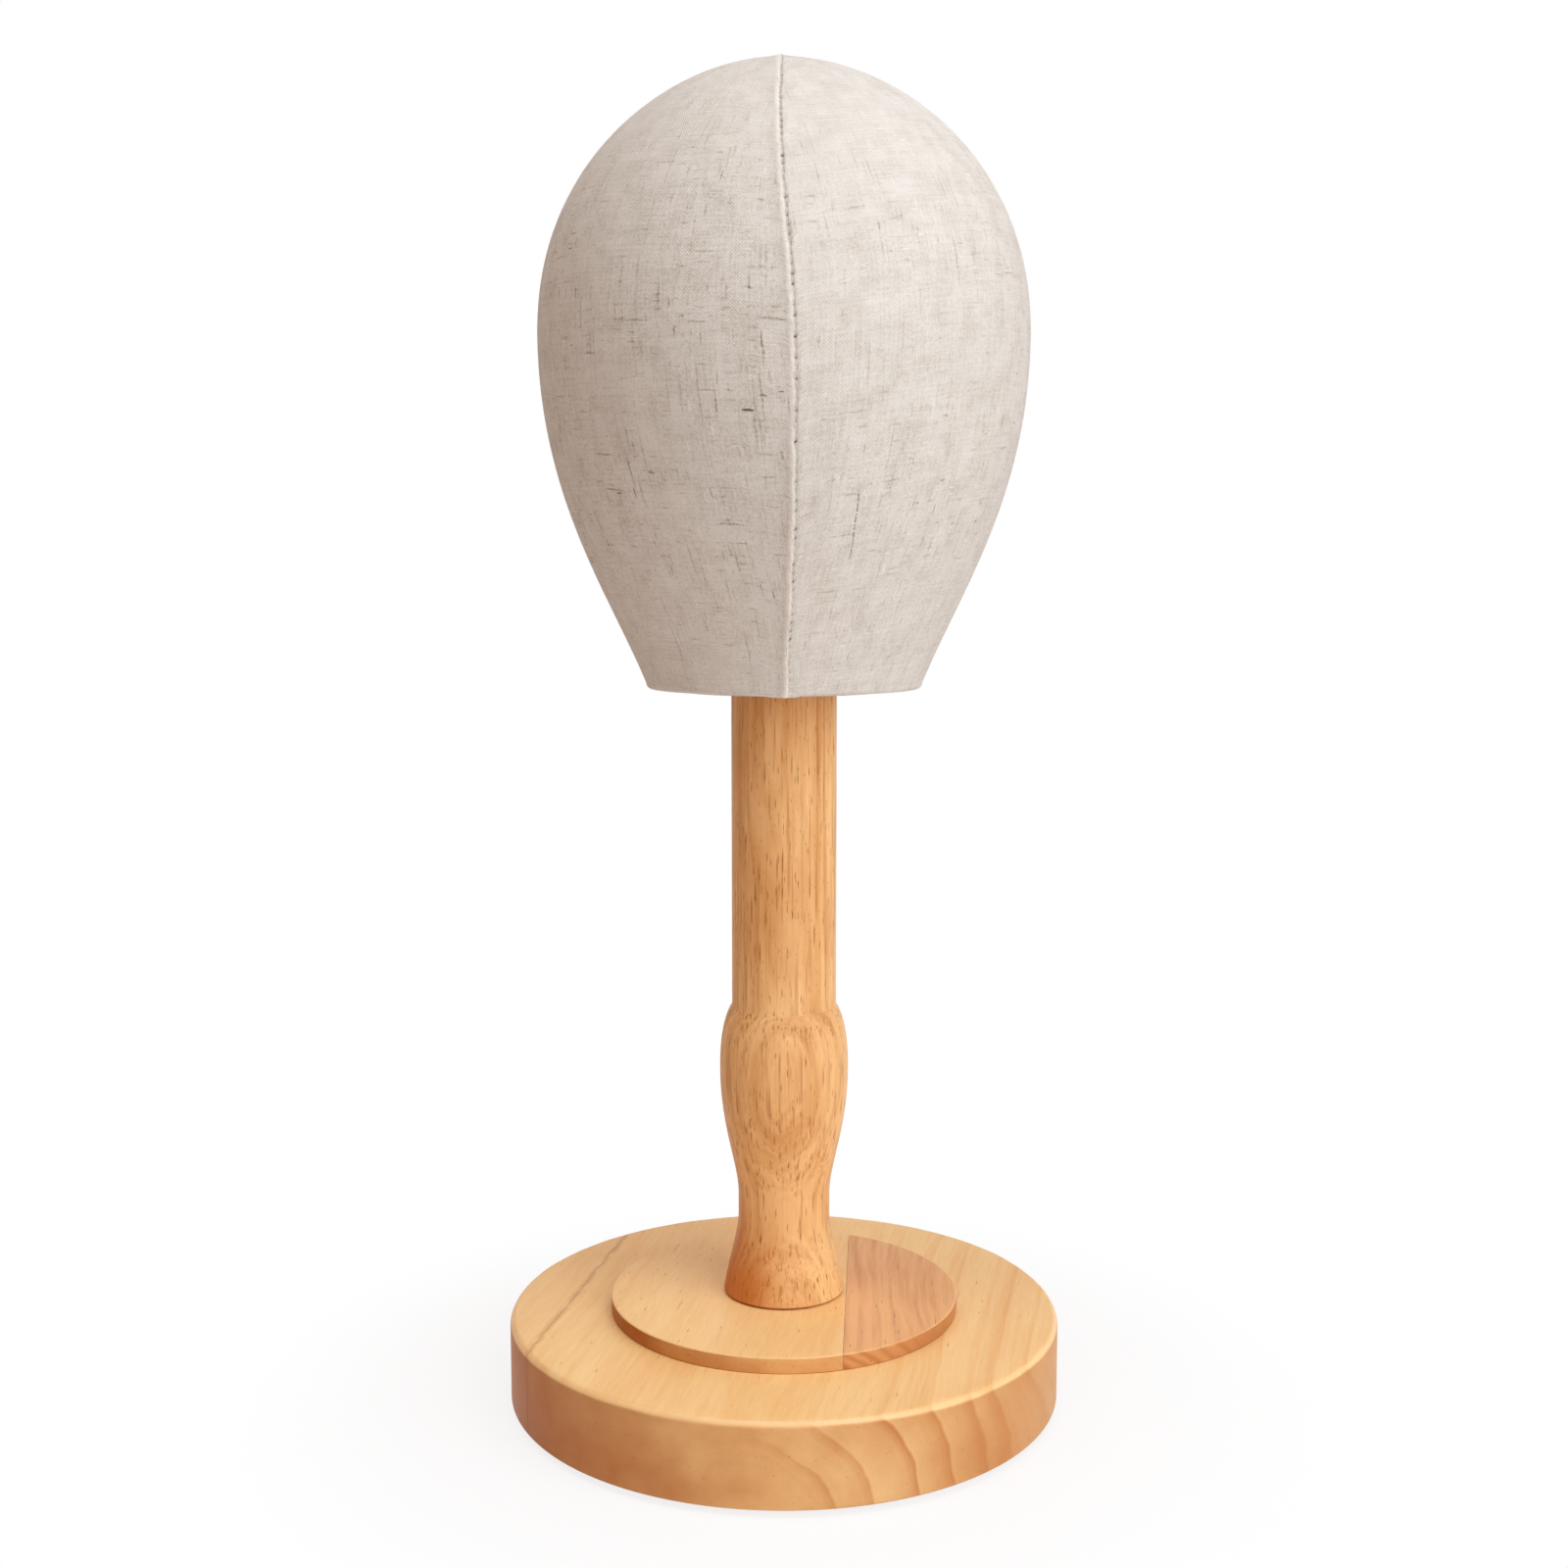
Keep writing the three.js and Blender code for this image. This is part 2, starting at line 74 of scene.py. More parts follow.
camera_distance = 626.2 * mm
camera_height = 275.7 * mm
camera_pitch = 6.18
camera_data = bpy.data.cameras.new("camera")
camera_data.sensor_width = 36
camera_data.lens = 43.64
camera = in_scene("camera", camera_data)
camera.location = (0, -camera_distance, camera_height)
camera.rotation_euler = (math.radians(90 - camera_pitch), 0, 0)
bpy.context.scene.camera = camera


# Studio: a white floor and surround, one broad daylight lamp on the right in front, one
# above it, weaker ones above on the left and behind, and a warm room in the shadows.
class Shade:
    """An output of a shader node. Arithmetic on it adds Math nodes to its tree."""

    def __init__(self, tree, socket=None, material=None):
        self.tree = tree
        self.socket = socket
        self.material = material

    def node(self, kind, settings=None, values=None, output=0):
        """Adds a node: first its settings, then the values or links of its sockets."""
        added = self.tree.nodes.new("ShaderNode" + kind)
        for name, value in (settings or {}).items():
            if name == "stops":
                place_stops(added.color_ramp.elements, value)
            else:
                setattr(added, name, value)
        for key, value in (values or {}).items():
            if isinstance(value, Shade):
                self.tree.links.new(value.socket, added.inputs[key])
            else:
                added.inputs[key].default_value = value
        return Shade(self.tree, added.outputs[output] if len(added.outputs) else None)

    def __add__(self, other):
        return worked("ADD", self, other)

    def __sub__(self, other):
        return worked("SUBTRACT", self, other)

    def __rsub__(self, other):
        return worked("SUBTRACT", other, self)

    def __mul__(self, other):
        return worked("MULTIPLY", self, other)

    def __truediv__(self, other):
        return worked("DIVIDE", self, other)

    def __pow__(self, other):
        return worked("POWER", self, other)

    __radd__ = __add__
    __rmul__ = __mul__


def node_of(kind, settings, values):
    """A node that takes these values in order. One of them at least is a shade."""
    shade = next(value for value in values if isinstance(value, Shade))
    return shade.node(kind, settings, dict(enumerate(values)))


def worked(operation, *values):
    """A Math node on these values."""
    return node_of("Math", {"operation": operation}, values)


def place_stops(elements, stops):
    """Sets a ramp's stops from (position, grey) pairs."""
    while len(elements) < len(stops):
        elements.new(1)
    for element, (position, grey) in zip(elements, stops):
        element.position = position
        element.color = (grey, grey, grey, 1)


def colour(red, green, blue):
    """A colour as it is seen, 0 to 255 each, as the linear values that shaders take."""
    seen = [channel / 255 for channel in (red, green, blue)]
    linear = [c / 12.92 if c <= 0.04045 else ((c + 0.055) / 1.055) ** 2.4 for c in seen]
    return (*linear, 1)


def rise(value, low, high):
    """Rises smoothly from 0 at low to 1 at high, or falls where low is the larger."""
    limits = {"Value": value, "From Min": low, "From Max": high}
    return value.node("MapRange", {"interpolation_type": "SMOOTHSTEP"}, limits)


def seen_directly(shade):
    """1 for rays from the camera, and for those that come by way of metal or glass."""
    outputs = shade.node("LightPath").socket.node.outputs
    rays = [Shade(shade.tree, outputs[f"Is {kind} Ray"]) for kind in ("Camera", "Glossy", "Transmission")]
    either = {0: rays[0] + rays[1], 1: rays[2]}
    return shade.node("Math", {"operation": "ADD", "use_clamp": True}, either)


def new_material(name):
    """A bare shade in a new, empty material, to start expressions from."""
    material = bpy.data.materials.new(name)
    material.use_nodes = True
    material.node_tree.nodes.clear()
    return Shade(material.node_tree, material=material)


def new_piece(name, vertices, faces, material):
    """An object in the scene from points and faces, all in one material."""
    mesh = bpy.data.meshes.new(name)
    mesh.from_pydata(vertices, [], faces)
    mesh.materials.append(material)
    return in_scene(name, mesh)


daylight = colour(234, 245, 255)
lamp_distance = 1.3


def area_lamp(name, azimuth, elevation, size, power):
    """A square lamp that points at the middle of the stand. Azimuth 90 is the right."""
    data = bpy.data.lights.new(name, "AREA")
    data.size = size
    data.energy = power
    data.color = daylight[:3]
    lamp = in_scene(name, data)
    turn = math.radians(azimuth)
    lift = math.radians(elevation)
    level = math.cos(lift)
    back = Vector((math.sin(turn) * level, -math.cos(turn) * level, math.sin(lift)))
    lamp.location = Vector((0, 0, cad_box[1].z / 2)) + back * lamp_distance
    lamp.rotation_euler = back.to_track_quat("Z", "Y").to_euler()


area_lamp("lamp_right", 42, 15, 1.2, 12.4)
area_lamp("lamp_above", 40, 68, 0.9, 8.8)
area_lamp("lamp_left", -60, 62, 0.9, 4.9)
area_lamp("lamp_behind", 180, 30, 1.2, 3.4)

white = (1, 1, 1, 1)
warm_room = (1, 0.42, 0.08, 1)
room_strength = 0.25
world = bpy.data.worlds.new("surround")
world.use_nodes = True
world.node_tree.nodes.clear()
bpy.context.scene.world = world
surround = Shade(world.node_tree)
room_light = surround.node("Background", values={"Color": warm_room, "Strength": room_strength})
white_wall = surround.node("Background", values={"Color": white, "Strength": 1.0})
walls = {0: seen_directly(surround), 1: room_light, 2: white_wall}
surround.node("OutputWorld", values={"Surface": surround.node("MixShader", values=walls)})

floor_reach = 3.0
floor_paper = (0.95, 0.95, 0.95, 1)
floor_shadow = 0.17
shadow_inner = 90 * mm
shadow_outer = 0.2
paper = new_material("white_floor")
place = paper.node("TexCoord", output=3)
from_post = place.node("VectorMath", {"operation": "LENGTH"}, {0: place}, output=1)
whitening = 1 - floor_shadow * rise(from_post, shadow_outer, shadow_inner)
lit_paper = paper.node("BsdfDiffuse", values={"Color": floor_paper})
white_paper = paper.node("Emission", values={"Strength": 1.0})
papers = {0: seen_directly(paper) * whitening, 1: lit_paper, 2: white_paper}
paper.node("OutputMaterial", values={"Surface": paper.node("MixShader", values=papers)})
corners = [(x * floor_reach, y * floor_reach, 0) for x, y in ((-1, -1), (1, -1), (1, 1), (-1, 1))]
floor = new_piece("floor", corners, [(0, 1, 2, 3)], paper.material)
floor.location.z = cad_box[0].z


# Base: a disc glued up from two boards of pale rubberwood, the narrow one on the left,
# with a rounded top edge sanded by hand, and lacquered. The end grain shows in front.
def grid_piece(name, rings, closed_across, closed_along, material):
    """A piece from rows of points joined in quads, with a fan where a row is one point."""
    points = [point for ring in rings for point in ring]
    numbers = iter(range(len(points)))
    rows = [[next(numbers) for point in ring] for ring in rings]
    faces = []
    for above, below in zip(rows, rows[1:] + rows[:1] if closed_along else rows[1:]):
        wide = max(len(above), len(below))
        for i in range(wide if closed_across else wide - 1):
            j = (i + 1) % wide
            if len(above) == 1:
                faces.append((above[0], below[i], below[j]))
            elif len(below) == 1:
                faces.append((above[i], below[0], above[j]))
            else:
                faces.append((above[i], below[i], below[j], above[j]))
    return new_piece(name, points, faces, material)


@contextmanager
def edited(piece):
    """A piece's mesh, open for changes."""
    work = bmesh.new()
    work.from_mesh(piece.data)
    yield work
    work.to_mesh(piece.data)
    work.free()


def smooth(piece, crease=35):
    """Faces out and shaded smooth, with creases at steep edges."""
    with edited(piece) as work:
        bmesh.ops.recalc_face_normals(work, faces=work.faces)
    piece.data.shade_smooth()
    piece.data.set_sharp_from_angle(angle=math.radians(crease))


def turned_piece(name, section, steps, material):
    """A solid of revolution. section(angle) gives (radius, height) points round a closed
    loop, or from the axis back to the axis."""
    angles = [2 * math.pi * i / steps for i in range(steps)]
    columns = [section(angle) for angle in angles]
    rings = []
    for level in zip(*columns):
        ring = [(r * math.cos(a), r * math.sin(a), height) for a, (r, height) in zip(angles, level)]
        rings.append(ring if level[0][0] else ring[:1])
    piece = grid_piece(name, rings, True, columns[0][0][0] > 0, material)
    smooth(piece)
    return piece


def uneven(x, y, z=0):
    """Smooth chance from -1 to 1."""
    return noise.noise(Vector((x, y, z)))


def waver(angle, scale, layer=0):
    """Smooth chance from -1 to 1 round a disc, which closes on itself."""
    return uneven(math.cos(angle) * scale, math.sin(angle) * scale, layer)


def arc(centre_radius, centre_height, radius, start, end, steps):
    """Points of a round in a section, from one angle in degrees to another."""
    points = []
    for i in range(steps + 1):
        angle = math.radians(start + (end - start) * i / steps)
        out = centre_radius + radius * math.cos(angle)
        points.append((out, centre_height + radius * math.sin(angle)))
    return points


def glued_board(name, section, steps, material, across, joint, side):
    """One board of a glued-up disc, cut off at the joint."""
    board = turned_piece(name, section, steps, material)
    cut = {"plane_co": across * (joint + side * joint_gap / 2), "plane_no": across * side}
    with edited(board) as work:
        everything = work.verts[:] + work.edges[:] + work.faces[:]
        bmesh.ops.bisect_plane(work, geom=everything, clear_inner=True, **cut)
        bmesh.ops.holes_fill(work, edges=[edge for edge in work.edges if edge.is_boundary])
    smooth(board)
    return board


def place_piece(piece, body, slot, *nodes):
    """The piece stands for CAD nodes and moves with their body. slot is not used."""
    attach(piece, body)
    if nodes:
        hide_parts(*nodes)


def box_of(*nodes):
    """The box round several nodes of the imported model."""
    lows, highs = zip(*(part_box(node) for node in nodes))
    return Vector(map(min, *lows)), Vector(map(max, *highs))


def finish_material(shade, base_colour, roughness, height, depth, **constants):
    """Closes a material: colour, roughness, a bump of the given depth, and fixed values."""
    bump = shade.node("Bump", values={"Strength": 1.0, "Distance": depth, "Height": height})
    values = {"Base Color": base_colour, "Roughness": roughness, "Normal": bump}
    values.update({name.replace("_", " "): value for name, value in constants.items()})
    shade.node("OutputMaterial", values={"Surface": shade.node("BsdfPrincipled", values=values)})
    return shade.material


def mixed(first, second, share):
    """One colour laid over another by a share from 0 to 1."""
    return share.node("Mix", {"data_type": "RGBA"}, {0: share, 6: first, 7: second}, output=2)


def object_place(shade, scale=1000.0):
    """Where a point lies on its piece, with so many units to a metre."""
    place = shade.node("TexCoord", output=3)
    return place.node("VectorMath", {"operation": "SCALE"}, {0: place, "Scale": scale})


def along_axis(vector, direction):
    """How far a vector reaches in a direction."""
    return vector.node("VectorMath", {"operation": "DOT_PRODUCT"}, {0: vector, 1: direction}, output=1)


def joined(x, y, z):
    """A vector from three values or plain numbers."""
    return node_of("CombineXYZ", None, (x, y, z))


def cloudy(vector, detail=2.0, roughness=0.5):
    """Noise with a mean of one half over a vector in its own units."""
    values = {"Vector": vector, "Scale": 1.0, "Detail": detail, "Roughness": roughness}
    return vector.node("TexNoise", values=values)


def flecks(vector, size, kept):
    """Scattered flecks, one to a cell at most: 1 at a fleck's middle, 0 past its edge."""
    near = vector.node("TexVoronoi", {"feature": "F1"}, {"Vector": vector, "Scale": 1.0})
    cell = Shade(vector.tree, near.socket.node.outputs["Color"])
    chance = cell.node("SeparateColor", values={0: cell})
    return rise(near, size, size * 0.45) * rise(chance, 1 - kept, 1 - kept * 0.5)


ring_neutral = 0.35


def ring_stops(radii, profile, reach):
    """A ramp up to a radius, with a profile of steps and greys at each growth ring, in mm."""
    stops = [(0, ring_neutral)]
    for radius in radii:
        stops += [((radius + step) / reach, grey) for step, grey in profile]
    return stops, reach


def grain_axes(turn):
    """Directions along the grain, across it and up, for a flat board turned from +Y."""
    angle = math.radians(turn)
    along = Vector((math.sin(angle), math.cos(angle), 0))
    across = Vector((math.cos(angle), -math.sin(angle), 0))
    return along, across, Vector((0, 0, 1))


def wood(name, axes, pith, rings, colours, pore_share, contrast, bold=(-1000, -900), joint=1000,
         glue_share=0.75, foot_light_span=(-1000, -1001), threads=0.1, rim=0.0, face_rings=0.35, head_shadow_start=1000):
    """Lacquered wood as a solid: growth rings round a pith that runs along the grain, fine
    streaks in those layers, and pores that are dashes along the grain and dots across it.
    Lengths are in mm, and the axes run along the grain, across it and up. The rings grow
    bold across the grain. Over foot_light_span along the grain the post gets a painted highlight
    on its right and painted shade on its left, and past head_shadow_start a painted shadow of the
    head. rim is how strongly a board's side and edge differ: painted shade on the upright sides,
    and on the rounded edge a coat and a painted highlight."""
    along, across, up = axes
    ring_ramp, ring_reach = rings
    pale, deep, line, pore = colours
    shade = new_material(name)
    spot = object_place(shade)
    from_middle = along_axis(spot, across)
    p = from_middle - pith[0]
    q = along_axis(spot, up) - pith[1]
    u = along_axis(spot, along)

    def cells(wide, high, long):
        return joined(p / wide, q / high, u / long)

    # growth layers and the streaks and fibres in them
    sway = cloudy(cells(45, 45, 110)) * 9 - 4.5
    shiver = cloudy(cells(7, 7, 60)) * 1.6 - 0.8
    radius = (p * p + q * q) ** 0.5 + sway + shiver
    broad = cloudy(joined(radius / 9, u / 260, p / 60))
    streak = cloudy(joined(radius / 1.3, u / 42, p / 14), 3.0, 0.6)
    fibre = cloudy(cells(0.5, 0.5, 9))
    lines = cloudy(cells(1.2, 1.2, 46), 3.0, 0.6)
    blotch = cloudy(cells(22, 22, 40), 3.0)
    ring_grey = radius.node("ValToRGB", {"stops": ring_ramp}, {0: radius / ring_reach})
    ring_strength = rise(p, *bold) * (0.35 + 1.1 * cloudy(joined(radius / 4, u / 40, p / 30)))

    # which way the surface faces
    normal = shade.node("TexCoord", output=1)
    end_grain = along_axis(normal, along) ** 2
    facing_up = along_axis(normal, up)
    upright = rise(facing_up, 0.5, 0.1) * rim
    ring = (ring_grey - ring_neutral) * ring_strength * (face_rings + (1 - face_rings) * end_grain)
    plain = contrast * (1 - 0.85 * end_grain * rim)
    tone = 0.42 + (broad - 0.5) * plain + (streak - 0.5) * (0.4 * contrast + 0.6 * plain)
    tone = tone + (blotch - 0.5) * 0.6 + ring * 0.9

    # pores, more of the fine ones in some layers
    break_up = rise(cloudy(cells(0.8, 0.8, 6)), 0.35, 0.6)
    long_pores = flecks(cells(1.5, 1.5, 22), 0.27, pore_share)
    short_pores = flecks(cells(0.9, 0.9, 8), 0.26, pore_share)
    fine_pores = flecks(cells(0.6, 0.6, 3.2), 0.24, pore_share * 0.8)
    layers = rise(broad, 0.42, 0.62)
    holes = (long_pores + short_pores + fine_pores * layers * 1.3) * (0.35 + 0.65 * break_up)

    # the wood itself, then its end grain, painted shade on the upright sides, deeper on the left, and a
    # painted shadow of the head on the post's top end
    body = mixed(pale, deep, rise(tone, 0.05, 0.95))
    lined = mixed(body, line, rise(ring, 0.2, 0.6) * 0.7)
    fibred = mixed(lined, line, (fibre - 0.42) * 0.3 + rise(lines, 0.5, 0.72) * threads)
    end_grain_and_side_shade = end_grain * (0.4 + 0.75 * ring + 0.9 * (blotch - 0.5))
    # painted shade: upright sides darker than the top, most of all on the left
    painted_side_shade = rise(end_grain, 0.9, 0.2) * 0.4 + rise(from_middle, 20, -45) * 0.52
    end_grain_and_side_shade = end_grain_and_side_shade + upright * painted_side_shade + upright * rise(from_middle, 12, 42) * 0.22
    warmer = rise(facing_up, 0.5, 0.9) * rise(from_middle, 10, 70) * (0.4 + broad) * 0.16
    # painted shadow of the head, darkening the post's top end
    painted_head_shadow = rise(u, head_shadow_start, head_shadow_start + 38) * 0.32
    cut = mixed(fibred, line, end_grain_and_side_shade + warmer * rim + painted_head_shadow)

    # painted highlight on the right and painted shade on the left of the lower post, pores, then the glue
    # line, and on the rounded edge the thick lacquer with a painted highlight
    low_down = rise(u, *foot_light_span)
    # painted highlight on the right of the lower post, and painted shade on its left
    painted_foot_highlight = mixed(cut, colour(255, 216, 150), low_down * rise(from_middle, 3, 15) * 0.45)
    painted_foot_shade = mixed(painted_foot_highlight, colour(200, 106, 20), low_down * rise(from_middle, 5, -15) * 0.75)
    holed = mixed(painted_foot_shade, pore, holes * 0.7)
    to_joint = worked("ABSOLUTE", from_middle - joint)
    to_joint = to_joint + 1.4 * (cloudy(joined(u / 6, q / 2, 0.0), 3.0) - 0.5)
    glue = rise(to_joint, 2.0, 0.2) * rise(cloudy(joined(u / 10, q / 3, 7.0)), 0.25, 0.6)
    glued = mixed(holed, colour(184, 112, 54), glue * glue_share)
    round_edge = rise(facing_up, 0.97, 0.8) * rise(facing_up, 0.25, 0.6) * rim
    # painted highlight along the rounded top edge, golden on the left and pale on the right
    painted_rim_highlight = mixed(colour(226, 160, 70), colour(255, 216, 160), rise(from_middle, -72, -35))
    edged = mixed(glued, painted_rim_highlight, round_edge * rise(blotch, 0.3, 0.6) * 0.5)
    return finish_material(
        shade, edged, 0.46 + 0.12 * (streak - 0.5),
        0.25 * fibre + 0.2 * streak - 0.3 * holes, 0.12 * mm, Specular_IOR_Level=0.12,
        Coat_Weight=round_edge * 0.6, Coat_Roughness=0.3,
    )


base_low, base_high = box_of("base_board_wide", "base_board_narrow")
base_radius = (base_high.x - base_low.x) / 2
base_turn = 11.5
base_joint = -72 * mm
joint_gap = 0.1 * mm
base_top_round = 2.5 * mm
base_bottom_round = 1.0 * mm
base_top_rows = (84, 76, 66, 54, 40, 24)
edge_waver = 0.45 * mm
bolt_hole_radius = 4.5 * mm
counterbore_radius = 13 * mm
counterbore_depth = 8 * mm


def disc_section(low, high, radius, rounds, steps, top_rows):
    """A disc cut through, from its rounded bottom edge over its top to the bolt hole."""
    bottom, top = rounds
    return [
        *arc(radius - bottom, low + bottom, bottom, -90, 0, steps[0]),
        *arc(radius - top, high - top, top, 0, 90, steps[1]),
        *[(row * mm, high) for row in top_rows],
        (bolt_hole_radius, high),
    ]


def base_section(angle):
    """The base cut through from its bolt hole, with a top round that wavers a little."""
    top_round = base_top_round + edge_waver * (waver(angle, 2.3) + 0.6 * waver(angle, 9, 45))
    low = base_low.z
    counterbore = [(bolt_hole_radius, low + counterbore_depth), (counterbore_radius, low + counterbore_depth),
                   (counterbore_radius, low)]
    rounds = (base_bottom_round, top_round)
    return counterbore + disc_section(low, base_high.z, base_radius, rounds, (4, 9), base_top_rows)


# growth rings round a pith just under the base, right of its middle
base_pith = (5, -5)
base_ring_profile = ((-2.8, ring_neutral), (-0.2, 0.9), (0.2, 0.0), (2.0, 0.05))
base_rings = ring_stops((30, 40.3, 52.8, 62.5, 71.9, 77.7, 86.7), base_ring_profile, 100)
plain_ramp = [(0, ring_neutral), (1, ring_neutral)]
honey_line = colour(190, 120, 66)
pore_brown = colour(166, 102, 52)
wide_colours = (colour(255, 218, 154), colour(245, 191, 122), honey_line, pore_brown)
narrow_colours = (colour(255, 219, 158), colour(247, 196, 130), honey_line, pore_brown)
base_axes = grain_axes(base_turn)
# rim=1.0 gives the boards painted shade on their sides and a painted highlight on their rounded edge
wide_wood = wood(
    "base_wood_wide", base_axes, base_pith, base_rings, wide_colours, 0.05, 0.7, bold=(-5, 60),
    joint=base_joint / mm, glue_share=0.5, threads=0.06, rim=1.0, face_rings=0.5,
)
narrow_wood = wood(
    "base_wood_narrow", base_axes, (-40, -60), (plain_ramp, 100), narrow_colours, 0.04, 0.6,
    joint=base_joint / mm, glue_share=0.35, threads=0.06, rim=1.0,
)
for name, side, material in (("wide", 1, wide_wood), ("narrow", -1, narrow_wood)):
    board = glued_board("base_" + name, base_section, 240, material, base_axes[1], base_joint, side)
    place_piece(board, "stand", "base_wood", "base_board_" + name)


# Pads: four rubber discs glued under the base near its edge, so that it stands level.
# Each is moulded with a slight dish underneath and a rounded rim.
def rubber():
    shade = new_material("pad_rubber")
    grain = cloudy(object_place(shade, 2600.0), 3.0)
    tone = mixed(colour(38, 37, 36), colour(62, 60, 57), grain)
    return finish_material(shade, tone, 0.75 + 0.2 * grain, grain, 0.05 * mm)


pad_low, pad_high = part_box("base_pad_1")
pad_radius = (pad_high.x - pad_low.x) / 2
pad_thickness = pad_high.z - pad_low.z
pad_round = 0.5 * mm
dish_radius = pad_radius - 2 * mm
dish_depth = 0.25 * mm


def pad_section(angle):
    return [
        (0, dish_depth), (dish_radius - 1 * mm, 0.8 * dish_depth), (dish_radius, 0),
        *arc(pad_radius - pad_round, pad_round, pad_round, -90, 0, 4),
        (pad_radius, pad_thickness), (0, pad_thickness),
    ]


pad_rubber = rubber()
for number in range(1, 5):
    node = f"base_pad_{number}"
    low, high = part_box(node)
    pad = turned_piece(f"pad_{number}", pad_section, 48, pad_rubber)
    pad.data.transform(Matrix.Translation(((low.x + high.x) / 2, (low.y + high.y) / 2, low.z)))
    place_piece(pad, "stand", "pad_rubber", node)


# Tier: a thin disc of two boards glued edge to edge, pale on the left and redder on the
# right. It is glued on the base, and the post's bolt passes through it.
tier_low, tier_high = box_of("tier_board_light", "tier_board_dark")
tier_radius = (tier_high.x - tier_low.x) / 2
tier_turn = 2.9
tier_light_turn = 10
tier_joint = 21.2 * mm
tier_top_round = 0.6 * mm
tier_bottom_round = 0.3 * mm
tier_top_rows = (52, 44, 34, 22)


def tier_section(angle):
    """The tier cut through from its bolt hole, with a top round that wavers a little."""
    top_round = tier_top_round * (1 + 0.35 * waver(angle, 5, 45))
    rounds = (tier_bottom_round, top_round)
    outline = disc_section(tier_low.z, tier_high.z, tier_radius, rounds, (3, 6), tier_top_rows)
    return [(bolt_hole_radius, tier_low.z)] + outline


light_colours = (colour(255, 216, 152), colour(247, 195, 128), colour(176, 98, 38), pore_brown)
dark_colours = (colour(240, 184, 124), colour(216, 152, 96), colour(178, 110, 58), pore_brown)
dark_ring_profile = ((-1.8, 0.15), (-0.3, 0.7), (0.7, 0.3))
dark_rings = ring_stops((22, 25.5, 28, 31.5, 35, 37.5, 41, 44, 47.5, 51), dark_ring_profile, 60)
tier_axes = grain_axes(tier_turn)
light_wood = wood(
    "tier_wood_light", grain_axes(tier_light_turn), (-6, -70), (plain_ramp, 200), light_colours,
    0.15, 0.8, threads=0.06, rim=0.9,
)
dark_wood = wood(
    "tier_wood_dark", tier_axes, (0, 0), dark_rings, dark_colours, 0.12, 1.2,
    joint=tier_joint / mm, glue_share=0.1, threads=0.2, rim=0.9, face_rings=0.75,
)
for name, side, material in (("light", -1, light_wood), ("dark", 1, dark_wood)):
    board = glued_board("tier_" + name, tier_section, 200, material, tier_axes[1], tier_joint, side)
    place_piece(board, "stand", "tier_wood_" + name, "tier_board_" + name)


# Post: turned in one piece from rubberwood, flared at the foot, with a narrow waist, a
# vase-shaped bead and a long plain shaft. A blind hole takes the brass insert and bolt.
post_low, post_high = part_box("post")
post_length = post_high.z - post_low.z
shaft_radius = 17.4 * mm
foot_radius = 20.4 * mm
foot_height = 27.4 * mm
waist_radius = 15.4 * mm
waist_length = 6.7 * mm
bead_radius = 21.5 * mm
bead_height = 76.9 * mm
shoulder_height = 99 * mm
shaft_top_chamfer = 1.5 * mm
shaft_rows = 12
insert_hole_radius = 6.1 * mm
insert_hole_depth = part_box("post_insert")[1].z + 0.3 * mm - post_low.z
bolt_hole_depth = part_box("centre_bolt")[1].z + 3 * mm - post_low.z


def bezier(start, first, second, end, steps):
    """Points of a cubic curve from start to end, one to a row."""
    t = np.linspace(0, 1, steps + 1)[:, None]
    weights = ((1 - t) ** 3, 3 * t * (1 - t) ** 2, 3 * t * t * (1 - t), t ** 3)
    return sum(weight * np.array(point) for weight, point in zip(weights, (start, first, second, end)))


def post_section(angle):
    """The post cut through: its blind hole, then its outline from the foot up."""
    waist_top = foot_height + waist_length
    vase = bead_height - waist_top
    shoulder = shoulder_height - bead_height
    bulge = bead_radius - shaft_radius
    flare = bezier(
        (foot_radius, 0), (foot_radius - 0.4 * (foot_radius - waist_radius), 0.475 * foot_height),
        (waist_radius, 0.72 * foot_height), (waist_radius, foot_height), 24,
    )
    waist = [(waist_radius, foot_height + waist_length * share) for share in (0.25, 0.5, 0.75, 1)]
    swell = bezier(
        (waist_radius, waist_top), (waist_radius, waist_top + 0.23 * vase),
        (bead_radius, waist_top + 0.535 * vase), (bead_radius, bead_height), 32,
    )
    closing = bezier(
        (bead_radius, bead_height), (bead_radius, bead_height + 0.08 * shoulder),
        (bead_radius + 0.09 * bulge, shoulder_height - 0.29 * shoulder), (shaft_radius, shoulder_height), 24,
    )
    shaft_heights = np.linspace(shoulder_height, post_length - shaft_top_chamfer, shaft_rows + 1)
    hole = [
        (0, bolt_hole_depth), (bolt_hole_radius, bolt_hole_depth), (bolt_hole_radius, insert_hole_depth),
        (insert_hole_radius, insert_hole_depth), (insert_hole_radius, 0),
    ]
    foot_edge = [
        (foot_radius - 1.4 * mm, 0), (foot_radius - 0.9 * mm, 0.35 * mm),
        (foot_radius - 0.3 * mm, 0.5 * mm), (foot_radius - 0.02 * mm, 0.9 * mm),
    ]
    outline = [
        *foot_edge, *flare[2:], *waist, *swell[1:], *closing[1:],
        *[(shaft_radius, height) for height in shaft_heights[1:]],
        (shaft_radius - shaft_top_chamfer, post_length), (0, post_length),
    ]
    return [(radius, post_low.z + height) for radius, height in hole + outline]


